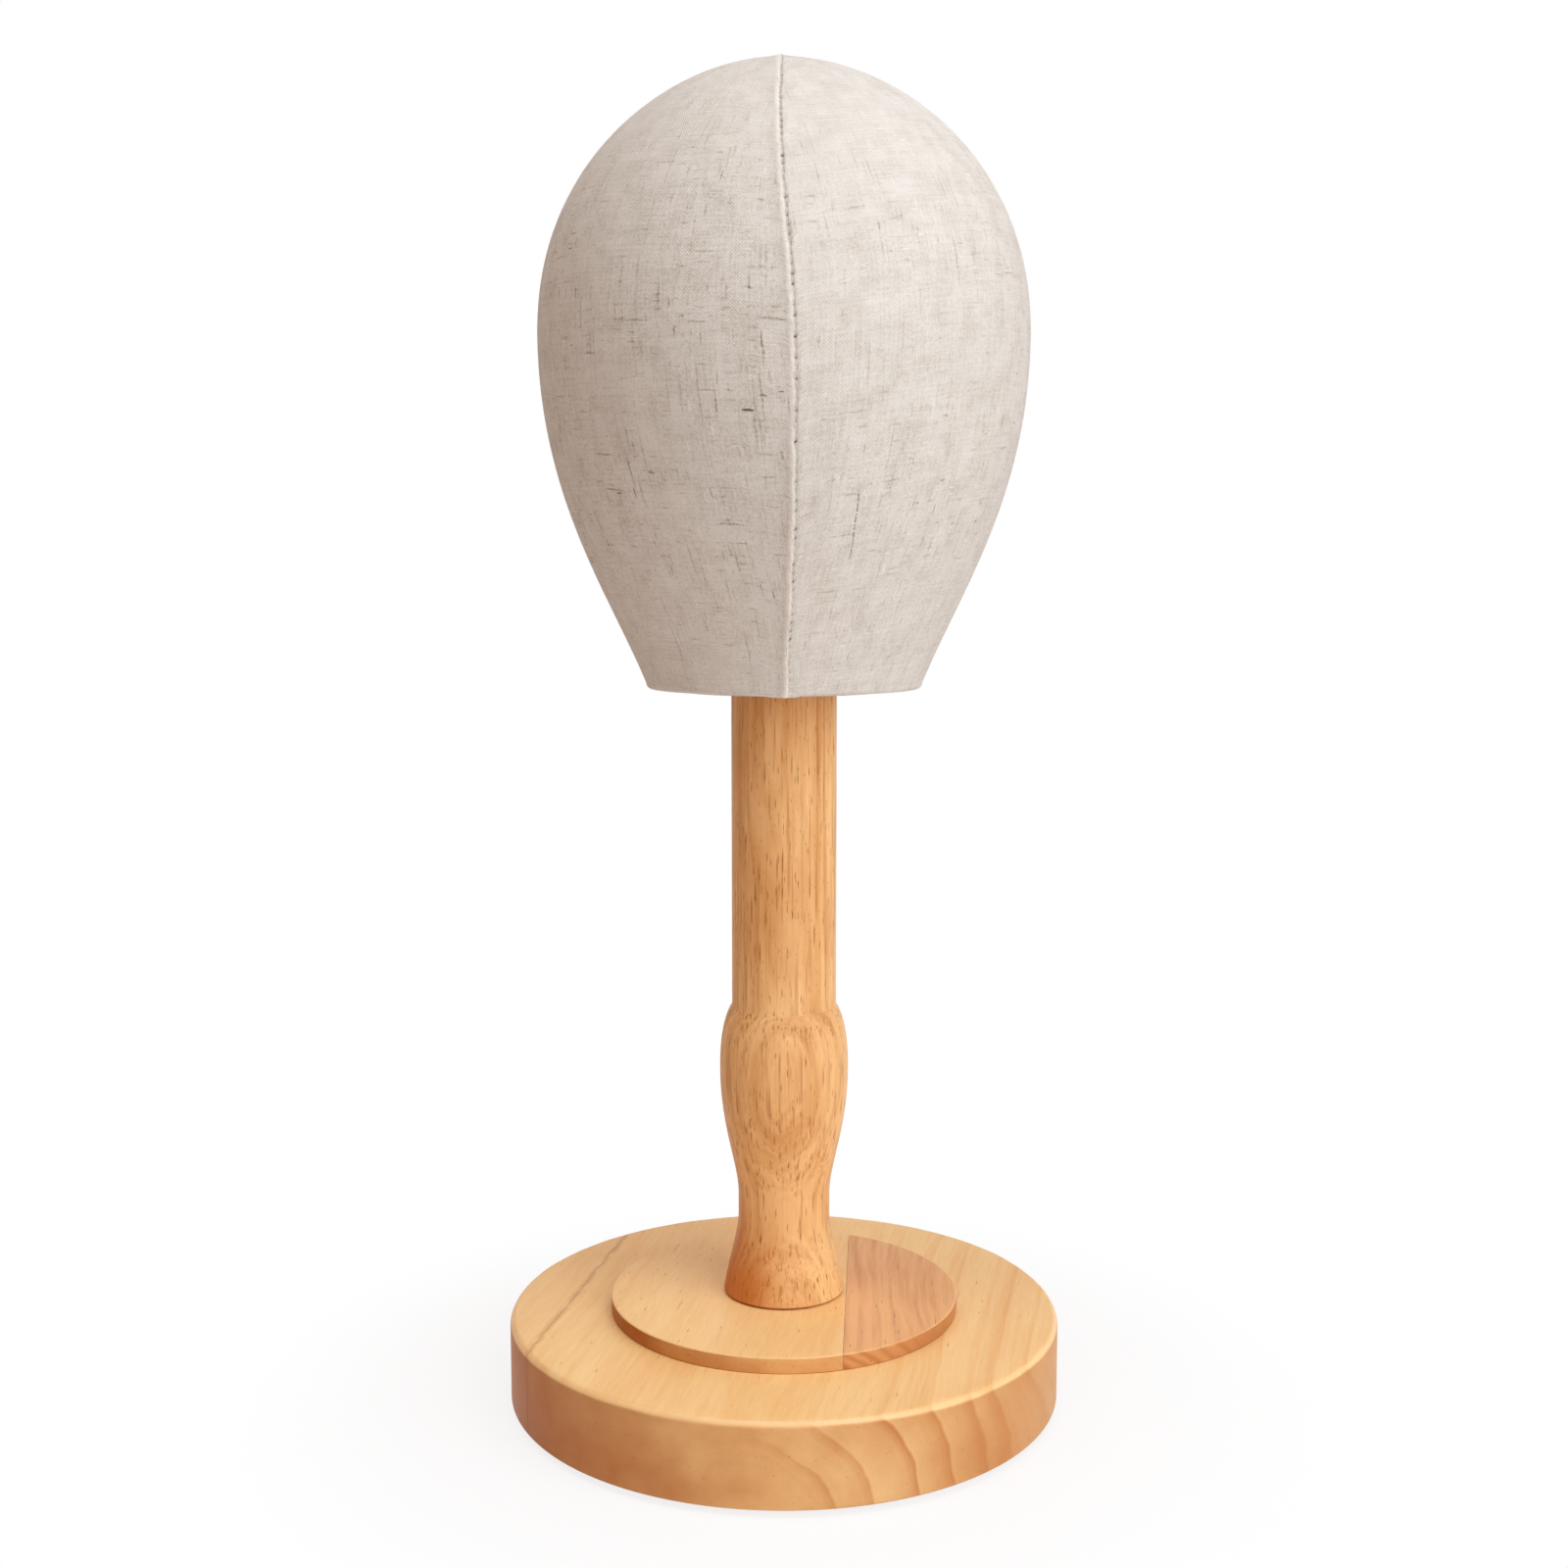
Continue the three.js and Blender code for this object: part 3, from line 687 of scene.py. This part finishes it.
# growth rings far behind the post
post_axes = (Vector((0, 0, 1)), Vector((1, 0, 0)), Vector((0, 1, 0)))
post_pith = (3, 46)
post_ring_radii = [5.5 * number for number in range(7, 17)]
post_rings = ring_stops(post_ring_radii, ((-2.2, 0.3), (0, 0.62), (0.8, 0.3)), 120)
post_colours = (colour(249, 201, 140), colour(218, 157, 95), colour(176, 108, 54), colour(156, 82, 24))
# the lower post gets a painted highlight and painted shade, and its top end a painted shadow of the head
post_wood = wood(
    "post_wood", post_axes, post_pith, post_rings, post_colours, 0.8, 1.3,
    foot_light_span=(74, 40), threads=0.6, head_shadow_start=202,
)
post = turned_piece("post_turned", post_section, 128, post_wood)
place_piece(post, "stand", "post_wood", "post")


# Fixing: a zinc-plated M8 bolt and washer in the counterbore under the base, and a brass
# insert pressed into the post. They keep the frame's shapes, with eased edges.
def metal(name, pale, dark, roughness):
    shade = new_material(name)
    scuffs = cloudy(object_place(shade, 900.0), 4.0, 0.65)
    place = shade.node("TexCoord", output=3)
    lathe_marks = place.node("VectorMath", {"operation": "MULTIPLY"}, {0: place, 1: (300, 300, 9000)})
    tone = mixed(pale, dark, rise(scuffs, 0.35, 0.75))
    shine = roughness + 0.25 * (scuffs - 0.5)
    return finish_material(shade, tone, shine, cloudy(lathe_marks), 0.02 * mm, Metallic=1.0)


def dress_node(name, material, edge=0.2 * mm):
    """A CAD node that keeps its shape, with eased edges and its own finish."""
    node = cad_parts[name]
    node.data.materials.clear()
    node.data.materials.append(material)
    easing = node.modifiers.new("eased_edges", "BEVEL")
    easing.width = edge
    easing.segments = 2
    easing.angle_limit = math.radians(40)


zinc = metal("zinc_steel", colour(205, 207, 210), colour(150, 152, 156), 0.38)
brass = metal("insert_brass", colour(222, 188, 108), colour(168, 132, 66), 0.35)
dress_node("centre_bolt", zinc)
dress_node("bolt_washer", zinc)
dress_node("post_insert", brass)


# Socket: a spiral-wound paperboard tube in the head that the post slides into, closed at
# its top by a plywood disc that the post's end bears on.
def coordinates(shade, axes):
    """Where a point lies on its piece along each of the named axes, in mm."""
    spot = object_place(shade)
    directions = {"x": (1, 0, 0), "y": (0, 1, 0), "z": (0, 0, 1)}
    return [along_axis(spot, directions[axis]) for axis in axes]


winding_pitch = 42
veneer = 1.4


def paperboard():
    shade = new_material("paperboard")
    x, y, z = coordinates(shade, "xyz")
    turn = worked("ARCTAN2", y, x) / (2 * math.pi)
    wound = worked("FRACT", z / winding_pitch + turn)
    edge = rise(wound, 0.03, 0.0) + rise(wound, 0.97, 1.0)
    fibres = cloudy(joined(x / 1.5, y / 1.5, z / 0.8), 4.0, 0.7)
    tone = mixed(colour(190, 160, 124), colour(160, 130, 96), fibres)
    edged = mixed(tone, colour(112, 88, 62), edge * 0.8)
    return finish_material(shade, edged, 0.8 + 0.15 * fibres, fibres - edge, 0.1 * mm)


def plywood():
    shade = new_material("plywood")
    x, y, z = coordinates(shade, "xyz")
    ply = rise(worked("FRACT", z / (2 * veneer)), 0.46, 0.54)
    grain = cloudy(joined(x / 1.2, y / 26, z / 2), 3.0)
    glue = rise(worked("FRACT", z / veneer), 0.12, 0.0)
    plies = mixed(colour(226, 194, 148), colour(190, 150, 104), ply * 0.6)
    tone = mixed(plies, colour(172, 130, 86), grain * 0.5)
    glued = mixed(tone, colour(92, 62, 38), glue * 0.7)
    return finish_material(shade, glued, 0.7 + 0.1 * grain, grain, 0.08 * mm)


birch_ply = plywood()
dress_node("socket_tube", paperboard())
dress_node("socket_stop", birch_ply)
dress_node("neck_ring", birch_ply, 0.3 * mm)


# Core: a moulded block of firm foam beads that gives the head its form and holds the
# socket. The cloth covers it all over.
def bead_foam():
    shade = new_material("bead_foam")
    values = {"Vector": object_place(shade, 340.0), "Scale": 1.0}
    seams = rise(shade.node("TexVoronoi", {"feature": "DISTANCE_TO_EDGE"}, values), 0.08, 0.0)
    tone = mixed(colour(246, 245, 240), colour(214, 212, 205), seams)
    return finish_material(shade, tone, 0.75 + 0.1 * seams, 1 - seams, 0.3 * mm)


dress_node("head_core", bead_foam(), 0.5 * mm)


# Cover: two panels of linen-look cloth, sewn together along one seam that runs up the
# face, over the crown and down the back, stretched over the core and turned in at the neck.
neck_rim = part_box("cover_left")[0].z
head_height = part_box("cover_left")[1].z - neck_rim
side_reach = 79.1 * mm
side_widest = 113.4 * mm
side_cheek = 51.5 * mm
face_reach = 86 * mm
face_widest = 104 * mm
face_cheek = 50 * mm
back_reach = 91 * mm
back_widest = 122 * mm
back_cheek = 56 * mm
crown_spread = 34.4 * mm
crown_roundness = 55.3 * mm
neck_radius = 45.4 * mm
neck_flare = 12 * mm
neck_flare_rise = 29.5 * mm
hem_round = 2 * mm
hem_width = 13 * mm
seam_ridge = 5 * mm
cheek_ridge = 12 * mm
cheek_ridge_height = 40 * mm
neck_ridge = 8.5 * mm
cloth_thickness = 1.05 * mm
outline_steps = 1499


def head_outline(reach, widest, cheek_drop):
    """Side of the head as reach and height, from the crown down to the neck's hem."""
    spread = crown_spread * reach / side_reach
    crown = bezier(
        (0, head_height), (spread, head_height), (reach, widest + crown_roundness), (reach, widest),
        outline_steps,
    )
    cheek = bezier(
        (reach, widest), (reach, widest - cheek_drop),
        (neck_radius + neck_flare, hem_round + neck_flare_rise), (neck_radius, hem_round), outline_steps,
    )
    return np.vstack([crown, cheek[1:]])


side_outline = head_outline(side_reach, side_widest, side_cheek)
face_outline = head_outline(face_reach, face_widest, face_cheek)
back_outline = head_outline(back_reach, back_widest, back_cheek)


def arc_length(points):
    """The way along a row of points to each of them."""
    return np.concatenate([[0], np.cumsum(np.linalg.norm(np.diff(points, axis=0), axis=1))])


def section_at(height):
    """The head's reach to the side, the face and the back at a height, and that height."""
    outlines = (side_outline, face_outline, back_outline)
    return (*[float(np.interp(height, line[::-1, 1], line[::-1, 0])) for line in outlines], height)


# rows follow the stitches down the face, six to a stitch, and then go round the hem
stitch_pitch = 2.9 * mm
first_stitch = 0.9
stitch_middle = 1.45
stitch_rows = (-0.5, -0.3, 0.0, 0.3, 0.5, stitch_middle)
crown_row = 1.2 * mm
least_row = 0.4 * mm
face_length = arc_length(face_outline)
face_end = face_length[-1]
stitch_centres = [(number + first_stitch) * stitch_pitch for number in range(int(face_end / stitch_pitch))]
row_lengths = [crown_row]
for centre in stitch_centres:
    row_lengths += [centre + offset * mm for offset in stitch_rows]
row_lengths = [length for length in sorted(row_lengths) if length < face_end - least_row] + [face_end]
row_heights = np.interp(row_lengths, face_length, face_outline[:, 1])
row_sections = [section_at(float(height)) for height in row_heights]
hem_rows = arc(neck_radius - hem_round, hem_round, hem_round, 0, -90, 5)[1:]
hem_rows += [(neck_radius - hem_width * share, 0) for share in (0.25, 0.4, 0.6, 0.8, 1.0)]
hem_start = len(row_sections)
row_sections += [(radius, radius, radius, height) for radius, height in hem_rows]
row_lengths += [face_end + (i + 1) * mm for i in range(len(hem_rows))]

# columns run from the face seam round the side to the back seam, close together by the seams
seam_offsets = [0, 0.2, 0.4, 0.65, 0.9, 1.2, 1.5, 1.9, 2.4, 3.0, 4.0, 5.5, 8, 11]
near_seam = [math.degrees(offset * mm / face_reach) for offset in seam_offsets]
column_angles = near_seam + list(np.linspace(11, 169, 40)) + [180 - angle for angle in reversed(near_seam)]
columns = len(column_angles)

# how far the face seam strays to the right, against height above the neck's rim, in mm
seam_stray = ((0, 1.3), (14, 1.5), (35, 2.5), (54, 3.2), (88, 3.3), (107, 2.9), (126, 1.8), (143, 0.2),
              (160, -0.9), (174, -1.2), (199, -0.6))
stray_width = 26 * mm


def stray_at(height, front):
    """How far the seam strays at a height. It wanders less but shakes more at the back."""
    heights, offsets = zip(*seam_stray)
    stray = float(np.interp(height / mm, heights, offsets))
    ripple = 0.3 * uneven(height / mm / 7, 3.1) + 0.2 * uneven(height / mm / 3, 8.2)
    return (stray + ripple if front > 0 else 0.5 * stray + 2 * ripple) * mm


def eased(low, high, share):
    """From low to high by a share, leaving and arriving smoothly."""
    return low + (high - low) * share * share * (3 - 2 * share)


def ridge_at(reach_side, height):
    """How far the seam stands proud of an ellipse: the cloth is drawn straight along it."""
    if height > side_widest:
        return seam_ridge * reach_side / side_reach
    if height > cheek_ridge_height:
        share = (height - cheek_ridge_height) / (side_widest - cheek_ridge_height)
        return eased(cheek_ridge, seam_ridge, share)
    return eased(neck_ridge, cheek_ridge, height / cheek_ridge_height)


def head_point(section, angle, side):
    """A point of the smooth head. Angle 0 is the face seam, 180 the back seam."""
    reach_side, reach_face, reach_back, height = section
    ridge = ridge_at(reach_side, height)
    out = math.cos(math.radians(angle))
    across = math.sin(math.radians(angle))
    reach = reach_face if out > 0 else reach_back
    depth = (reach - ridge) * abs(out) + ridge * (1 - across)
    return Vector((side * reach_side * across, -math.copysign(depth, out), neck_rim + height))


# widths in mm of what the stitching does to the cloth
fold_width = 2.4
ditch_width = 0.34
hole_length = 0.42
hole_width = 0.38
pucker_width = 1.8


def seam_relief(side, distance, along, hem):
    """How far the cloth stands proud near the seam, and how much of a needle hole is there.
    The left panel's folded edge laps the right one, and each hole draws both down."""
    d = distance / mm
    stitch = along / stitch_pitch - first_stitch
    number = round(stitch)
    reach = (stitch - number) * stitch_pitch / mm
    drawn = 0.6 + 0.8 * uneven(along / mm / 34, 6.2)
    if side < 0:
        fold = (0.35 + 0.5 * drawn) * math.exp(-(d / fold_width) ** 2)
        ditch = -0.2 * math.exp(-(d / ditch_width) ** 2)
    else:
        fold = 0.1 * math.exp(-((d - 1.5) / 1.2) ** 2)
        ditch = -0.04 * math.exp(-(d / ditch_width) ** 2)
    fold *= 1 - 0.8 * hem
    pull = max(0.16, 0.26 + 0.36 * drawn + 1.3 * uneven(number * 1.37, 2.7))
    aside = (side * d + 0.4 * reach - 0.1) / hole_width
    hole = pull * math.exp(-(reach / hole_length) ** 2 - aside ** 2) * (1 - hem)
    wave = math.cos(2 * math.pi * reach * mm / stitch_pitch)
    pucker = 0.12 * wave * math.exp(-(d / pucker_width) ** 2) * (1 - hem)
    return (fold + ditch - 0.4 * hole - pucker) * mm, hole


bump_depth = 0.45 * mm
bump_place = -1.8 * mm
bump_width = 5.2 * mm
seam_gap = 0.02 * mm


def hem_bump(row, point):
    """How far the seam's folded ends push the hem down, in front."""
    if row < hem_start or point.y >= 0:
        return 0
    share = 1 if row < len(row_sections) - 3 else 0.3
    return bump_depth * share * math.exp(-((point.x - bump_place) / bump_width) ** 6)


def cover_panel(name, side, material):
    """One panel, the rows of its outer points, and how much of a needle hole is at each."""
    smooth_rows = [[head_point(section, angle, side) for angle in column_angles] for section in row_sections]
    pole = Vector((0, 0, neck_rim + head_height))
    outer = [[pole]]
    inner = [[pole - Vector((0, 0, cloth_thickness))]]
    holes = [[0.0]]
    for i, row in enumerate(smooth_rows):
        above = smooth_rows[i - 1] if i else [pole] * columns
        below = smooth_rows[min(i + 1, len(smooth_rows) - 1)]
        hem = int(i >= hem_start)
        outer_row, inner_row, hole_row = [], [], []
        for j, point in enumerate(row):
            around = row[min(j + 1, columns - 1)] - row[max(j - 1, 0)]
            normal = around.cross(above[j] - below[j]).normalized() * side
            distance = abs(point.x)
            relief, hole = seam_relief(side, distance, row_lengths[i], hem)
            slip = stray_at(row_sections[i][3], -point.y) * math.exp(-(distance / stray_width) ** 2)
            gap = side * seam_gap if j in (0, columns - 1) else 0
            moved = point + Vector((slip + gap, 0, 0))
            outer_row.append(moved + normal * relief - Vector((0, 0, hem_bump(i, point))))
            inner_row.append(moved - normal * cloth_thickness)
            hole_row.append(hole)
        outer.append(outer_row)
        inner.append(inner_row)
        holes.append(hole_row)
    panel = grid_piece(name, outer + inner[::-1], False, True, material)
    close_seam_edges(panel, len(outer) - 1)
    return panel, outer, holes


def close_seam_edges(panel, rows):
    """Joins the outer and inner faces of the cloth along both of its seam edges. The points
    run down the outer face from one at the crown, and back up the inner one."""
    with edited(panel) as work:
        points = list(work.verts)
        for column in (0, columns - 1):
            outer = [points[0]] + [points[row * columns + column + 1] for row in range(rows)]
            inner = [points[-1]] + [points[column - (row + 1) * columns - 1] for row in range(rows)]
            for row in range(rows):
                work.faces.new((outer[row], outer[row + 1], inner[row + 1], inner[row]))


def cloth_places(outer):
    """Where each point lies on the cloth in mm: round from the side, and up from the neck."""
    rows = outer[1:]
    rounds = []
    for row in rows:
        lengths = arc_length(np.array([tuple(point) for point in row]))
        rounds.append((lengths - lengths[columns // 2]) / mm)
    rises = [np.zeros(columns)]
    for above, below in reversed(list(zip(rows, rows[1:]))):
        climb = np.array([(high - low).length for high, low in zip(above, below)]) / mm
        rises.insert(0, rises[0] + climb)
    return rounds, rises


# the panels are cut far apart from one cloth, so that their slubs differ
mean_reach = 83
panel_apart = 400
cloth_tilt = {-1: 0.035, 1: 0.14}


def write_cloth(panel, outer, holes, side):
    """Stores each point's place on the flat cloth and from the seam, and how much painted shade each needle
    hole gets.
    """
    rounds, rises = cloth_places(outer)
    places = [(0.0, float(rises[0].mean()), 0.0)]
    for i, section in enumerate(row_sections):
        for j, angle in enumerate(column_angles):
            across = 0.25 * rounds[i][j] + 0.75 * math.radians(angle - 90) * mean_reach
            tilt = cloth_tilt[side] * abs(outer[i + 1][j].x) / mm
            from_seam = abs(head_point(section, angle, side).x) / mm
            places.append((across + side * panel_apart, float(rises[i][j]) - tilt, side * from_seam))
    inner_places = []
    for start in range(len(places) - columns, 0, -columns):
        inner_places += places[start:start + columns]
    cloth = panel.data.attributes.new("cloth", "FLOAT_VECTOR", "POINT")
    cloth.data.foreach_set("vector", np.array(places + inner_places + places[:1], np.float32).ravel())
    # painted shade of the needle holes, on the outer points only
    outer_holes = [hole for row in holes for hole in row]
    needle_holes = panel.data.attributes.new("needle_hole", "FLOAT", "POINT")
    needle_holes.data.foreach_set("value", np.array(outer_holes + [0.0] * len(outer_holes), np.float32))


# slubs by width and length in mm, share of cells that have one, and darkness
slub_kinds = (
    (1.6, 10, 0.5, 0.4), (1.2, 5, 0.6, 0.3), (1.6, 20, 0.34, 0.42), (1.5, 8, 0.07, 0.8), (1.4, 30, 0.1, 0.6),
)
yarn_spacing = 0.52


def linen():
    """Linen-look plain weave: pale yarns of uneven thickness, with brown slubs along both.
    s runs round the head and t up it, in mm on the cloth."""
    shade = new_material("linen")
    cloth = shade.node("Attribute", {"attribute_name": "cloth"}, output=1)
    needle_hole = shade.node("Attribute", {"attribute_name": "needle_hole"}, output=2)
    drift = cloudy(cloth.node("VectorMath", {"operation": "SCALE"}, {0: cloth, "Scale": 0.16}))
    s = along_axis(cloth, (1, 0, 0)) + 0.8 * (drift - 0.5)
    t = along_axis(cloth, (0, 1, 0)) + 1.2 * (drift - 0.5)
    beside_seam = along_axis(cloth, (0, 0, 1))

    def cells(wide, high, layer):
        return joined(s / wide, t / high, layer)

    # yarns over and under, thick and thin
    warp = worked("SINE", s * (math.pi / yarn_spacing))
    weft = worked("SINE", t * (math.pi / yarn_spacing))
    weave = warp * weft
    warp_yarn = cloudy(cells(0.75, 22, 0.0))
    weft_yarn = cloudy(cells(22, 0.75, 4.0))
    grain = cloudy(cells(0.95, 0.95, 31.0), 3.0, 0.75)
    mottle = cloudy(cells(9, 9, 9.0), 4.0, 0.6)

    # slubs, broken into dots, and quieter at the crown, the neck and on the right
    dotted = rise(cloudy(cells(0.9, 0.9, 12.0)), 0.36, 0.6)
    slubs = shade.node("Value")
    for number, (width, length, kept, strength) in enumerate(slub_kinds):
        warp_slub = flecks(cells(width, length, 5.3 + 2.1 * number), 0.3, kept)
        weft_slub = flecks(cells(length * 0.7, width, 47.7 + 2.3 * number), 0.3, kept * 0.7)
        slubs = slubs + (warp_slub + weft_slub) * strength
    patchy = rise(cloudy(cells(48, 48, 51.0), 1.0), 0.36, 0.62)
    high_up = rise(t, 130, 210)
    right_panel = rise(s, -50, 50)
    quieter = (1 - 0.45 * high_up) * (1 - 0.45 * rise(t, 34, 8)) * (1 - 0.3 * right_panel)
    slubs = slubs * (0.3 + 0.7 * dotted) * (0.65 + 0.65 * patchy) * quieter
    pale_slubs = flecks(cells(7, 1.2, 17.0), 0.27, 0.16) + flecks(cells(1.2, 8, 23.0), 0.27, 0.16)

    # ground, slubs, the fold's paler strip with its painted highlight, and painted shade in the needle holes
    yarns = (warp_yarn - 0.5) * (0.5 - 0.35 * high_up) + (weft_yarn - 0.5) * 0.5
    yarns = yarns + (mottle - 0.5) * 0.8 + (grain - 0.5) * (1.4 - 0.5 * high_up - 0.25 * right_panel)
    shaded = rise(yarns + 0.34 + 0.05 * weave, 0.0, 1.0)
    ground = mixed(colour(224, 220, 212), colour(186, 177, 163), shaded)
    lit = mixed(ground, colour(244, 240, 233), pale_slubs * 0.5)
    slubbed = mixed(lit, colour(140, 120, 100), slubs)
    # the fold's strip: creamier cloth of its own, with a painted highlight
    fold = rise(beside_seam, -2.2, -0.4) * rise(beside_seam, 0.3, -0.1)
    fold = fold * rise(mottle, 0.2, 0.6)
    fold_with_highlight = mixed(slubbed, colour(250, 245, 236), fold * 0.85)
    # painted shade in the needle holes
    holed = mixed(fold_with_highlight, colour(84, 58, 38), needle_hole)

    # one dark yarn end on the left panel, and one broken dark yarn down the right panel
    end_place = ((s + 516.3) / 1.9) ** 2 + ((t - 104.5) / 0.42) ** 2
    end = rise(end_place, 1.3, 0.5) * 0.85
    broken_place = (s + 0.13 * t - 306.5) ** 2
    broken_reach = rise((t - 68.0) ** 2, 140.0, 100.0)
    gaps = rise(cloudy(joined(t / 0.8, 3.0, 0.0)), 0.42, 0.55)
    broken = rise(broken_place, 0.16, 0.03) * broken_reach * gaps * 0.7
    marked = mixed(holed, colour(78, 64, 54), end + broken)
    relief = 0.5 * weave + 1.2 * (warp_yarn + weft_yarn) + 0.8 * grain + slubs
    return finish_material(
        shade, marked, 0.86 + 0.1 * (mottle - 0.5), relief, 0.08 * mm,
        Sheen_Weight=0.1, Sheen_Roughness=0.5, Specular_IOR_Level=0.15,
    )


linen_cloth = linen()
outer_rows = {}
for name, side in (("left", -1), ("right", 1)):
    panel, outer, holes = cover_panel("linen_" + name, side, linen_cloth)
    write_cloth(panel, outer, holes, side)
    smooth(panel, 60)
    place_piece(panel, "head", "linen", "cover_" + name)
    outer_rows[side] = outer


# Stitches: one row of cream thread along the seam, over the crown and down the back. Each
# stitch bridges two needle holes and lies sunk in the ditch between the panels.
def thread():
    shade = new_material("seam_thread")
    twist = cloudy(object_place(shade, 4000.0))
    tone = mixed(colour(232, 224, 210), colour(196, 182, 162), twist)
    return finish_material(shade, tone, 0.8 + 0.1 * twist, twist, 0.05 * mm)


stitch_length = 2.0 * mm
stitch_lift = 0.12 * mm
stitch_dip = 0.35 * mm
thread_radius = 0.2 * mm
thread_rings = 8
thread_sides = 8
beside_columns = 6


def add_stitch(vertices, faces, middle, run, outward):
    """A bent capsule of thread, with its ends dipping into the needle holes."""
    aside = run.cross(outward).normalized()
    start = len(vertices)
    for i in range(thread_rings + 1):
        share = i / thread_rings
        to_end = abs(2 * share - 1)
        girth = thread_radius * math.sqrt(max(0.02, 1 - to_end ** 3))
        centre = middle + run * ((share - 0.5) * stitch_length) - outward * (stitch_dip * to_end ** 2)
        for k in range(thread_sides):
            turn = 2 * math.pi * k / thread_sides
            vertices.append(centre + (outward * math.cos(turn) + aside * math.sin(turn)) * girth)
    ends = range(start, len(vertices), thread_sides)
    rings = [list(range(first, first + thread_sides)) for first in ends]
    for ring, following in zip(rings, rings[1:]):
        faces += [(ring[k - 1], ring[k], following[k], following[k - 1]) for k in range(thread_sides)]
    faces += [rings[0], rings[-1][::-1]]


vertices = []
faces = []
left_rows = outer_rows[-1]
right_rows = outer_rows[1]
for column, inward in ((0, 1), (-1, -1)):
    for number, centre in enumerate(stitch_centres):
        along = centre + stitch_middle * mm
        row = next((i for i, length in enumerate(row_lengths) if abs(length - along) < 1e-6), None)
        if row is None or row + 3 > len(row_lengths):
            continue
        middle = (left_rows[row + 1][column] + right_rows[row + 1][column]) / 2
        run = (left_rows[row + 2][column] - left_rows[row][column]).normalized()
        near = column + beside_columns * inward
        beside = right_rows[row + 1][near] - left_rows[row + 1][near]
        outward = run.cross(beside).normalized()
        if outward.dot(middle - Vector((0, 0, neck_rim + 100 * mm))) < 0:
            outward = -outward
        tilt = 0.06 * uneven(number * 1.7, column * 5.0)
        run = (run + beside.normalized() * tilt).normalized()
        add_stitch(vertices, faces, middle + outward * stitch_lift, run, outward)
stitches = new_piece("seam_thread", vertices, faces, thread())
smooth(stitches, 60)
place_piece(stitches, "head", "linen")


# Lining: a disc of calico glued under the neck that hides the turned-in hem, with a hole
# for the post. It puckers a little where it is pasted down.
def calico():
    shade = new_material("lining_cloth")
    x, y = coordinates(shade, "xy")
    weave = worked("SINE", x * (math.pi / 0.4)) * worked("SINE", y * (math.pi / 0.4))
    yarn = cloudy(joined(x / 0.6, y / 12, 0.0)) + cloudy(joined(x / 12, y / 0.6, 0.0)) - 1
    tone = mixed(colour(224, 214, 198), colour(190, 176, 156), rise(yarn + 0.2 * weave, -0.5, 0.6))
    return finish_material(shade, tone, 0.9 + 0.08 * yarn, weave + yarn, 0.08 * mm, Specular_IOR_Level=0.2)


lining_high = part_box("neck_lining")[1]
lining_radius = lining_high.x - 2.5 * mm
lining_thickness = 0.3 * mm
lining_hole = 18.7 * mm


def lining_section(angle):
    """The lining cut through from its hole, with a ragged edge and a puckered underside."""
    low = lining_high.z - lining_thickness
    high = lining_high.z
    edge = lining_radius - 0.4 * mm * (1 + waver(angle, 11))
    ripple = 0.12 * mm * (1 + waver(angle, 7))
    under = [(lining_hole, low + 0.05 * mm), (lining_hole + 0.3 * mm, low)]
    for share in (0.2, 0.4, 0.6, 0.8):
        radius = lining_hole + (edge - lining_hole) * share
        pucker = ripple * math.sin(math.pi * share) * (1 + waver(angle, radius / mm / 5))
        under.append((radius, low - pucker))
    return under + [(edge - 0.2 * mm, low), (edge, low + 0.1 * mm), (edge, high), (lining_hole, high)]


lining = turned_piece("lining_disc", lining_section, 180, calico())
place_piece(lining, "head", "lining_cloth", "neck_lining")
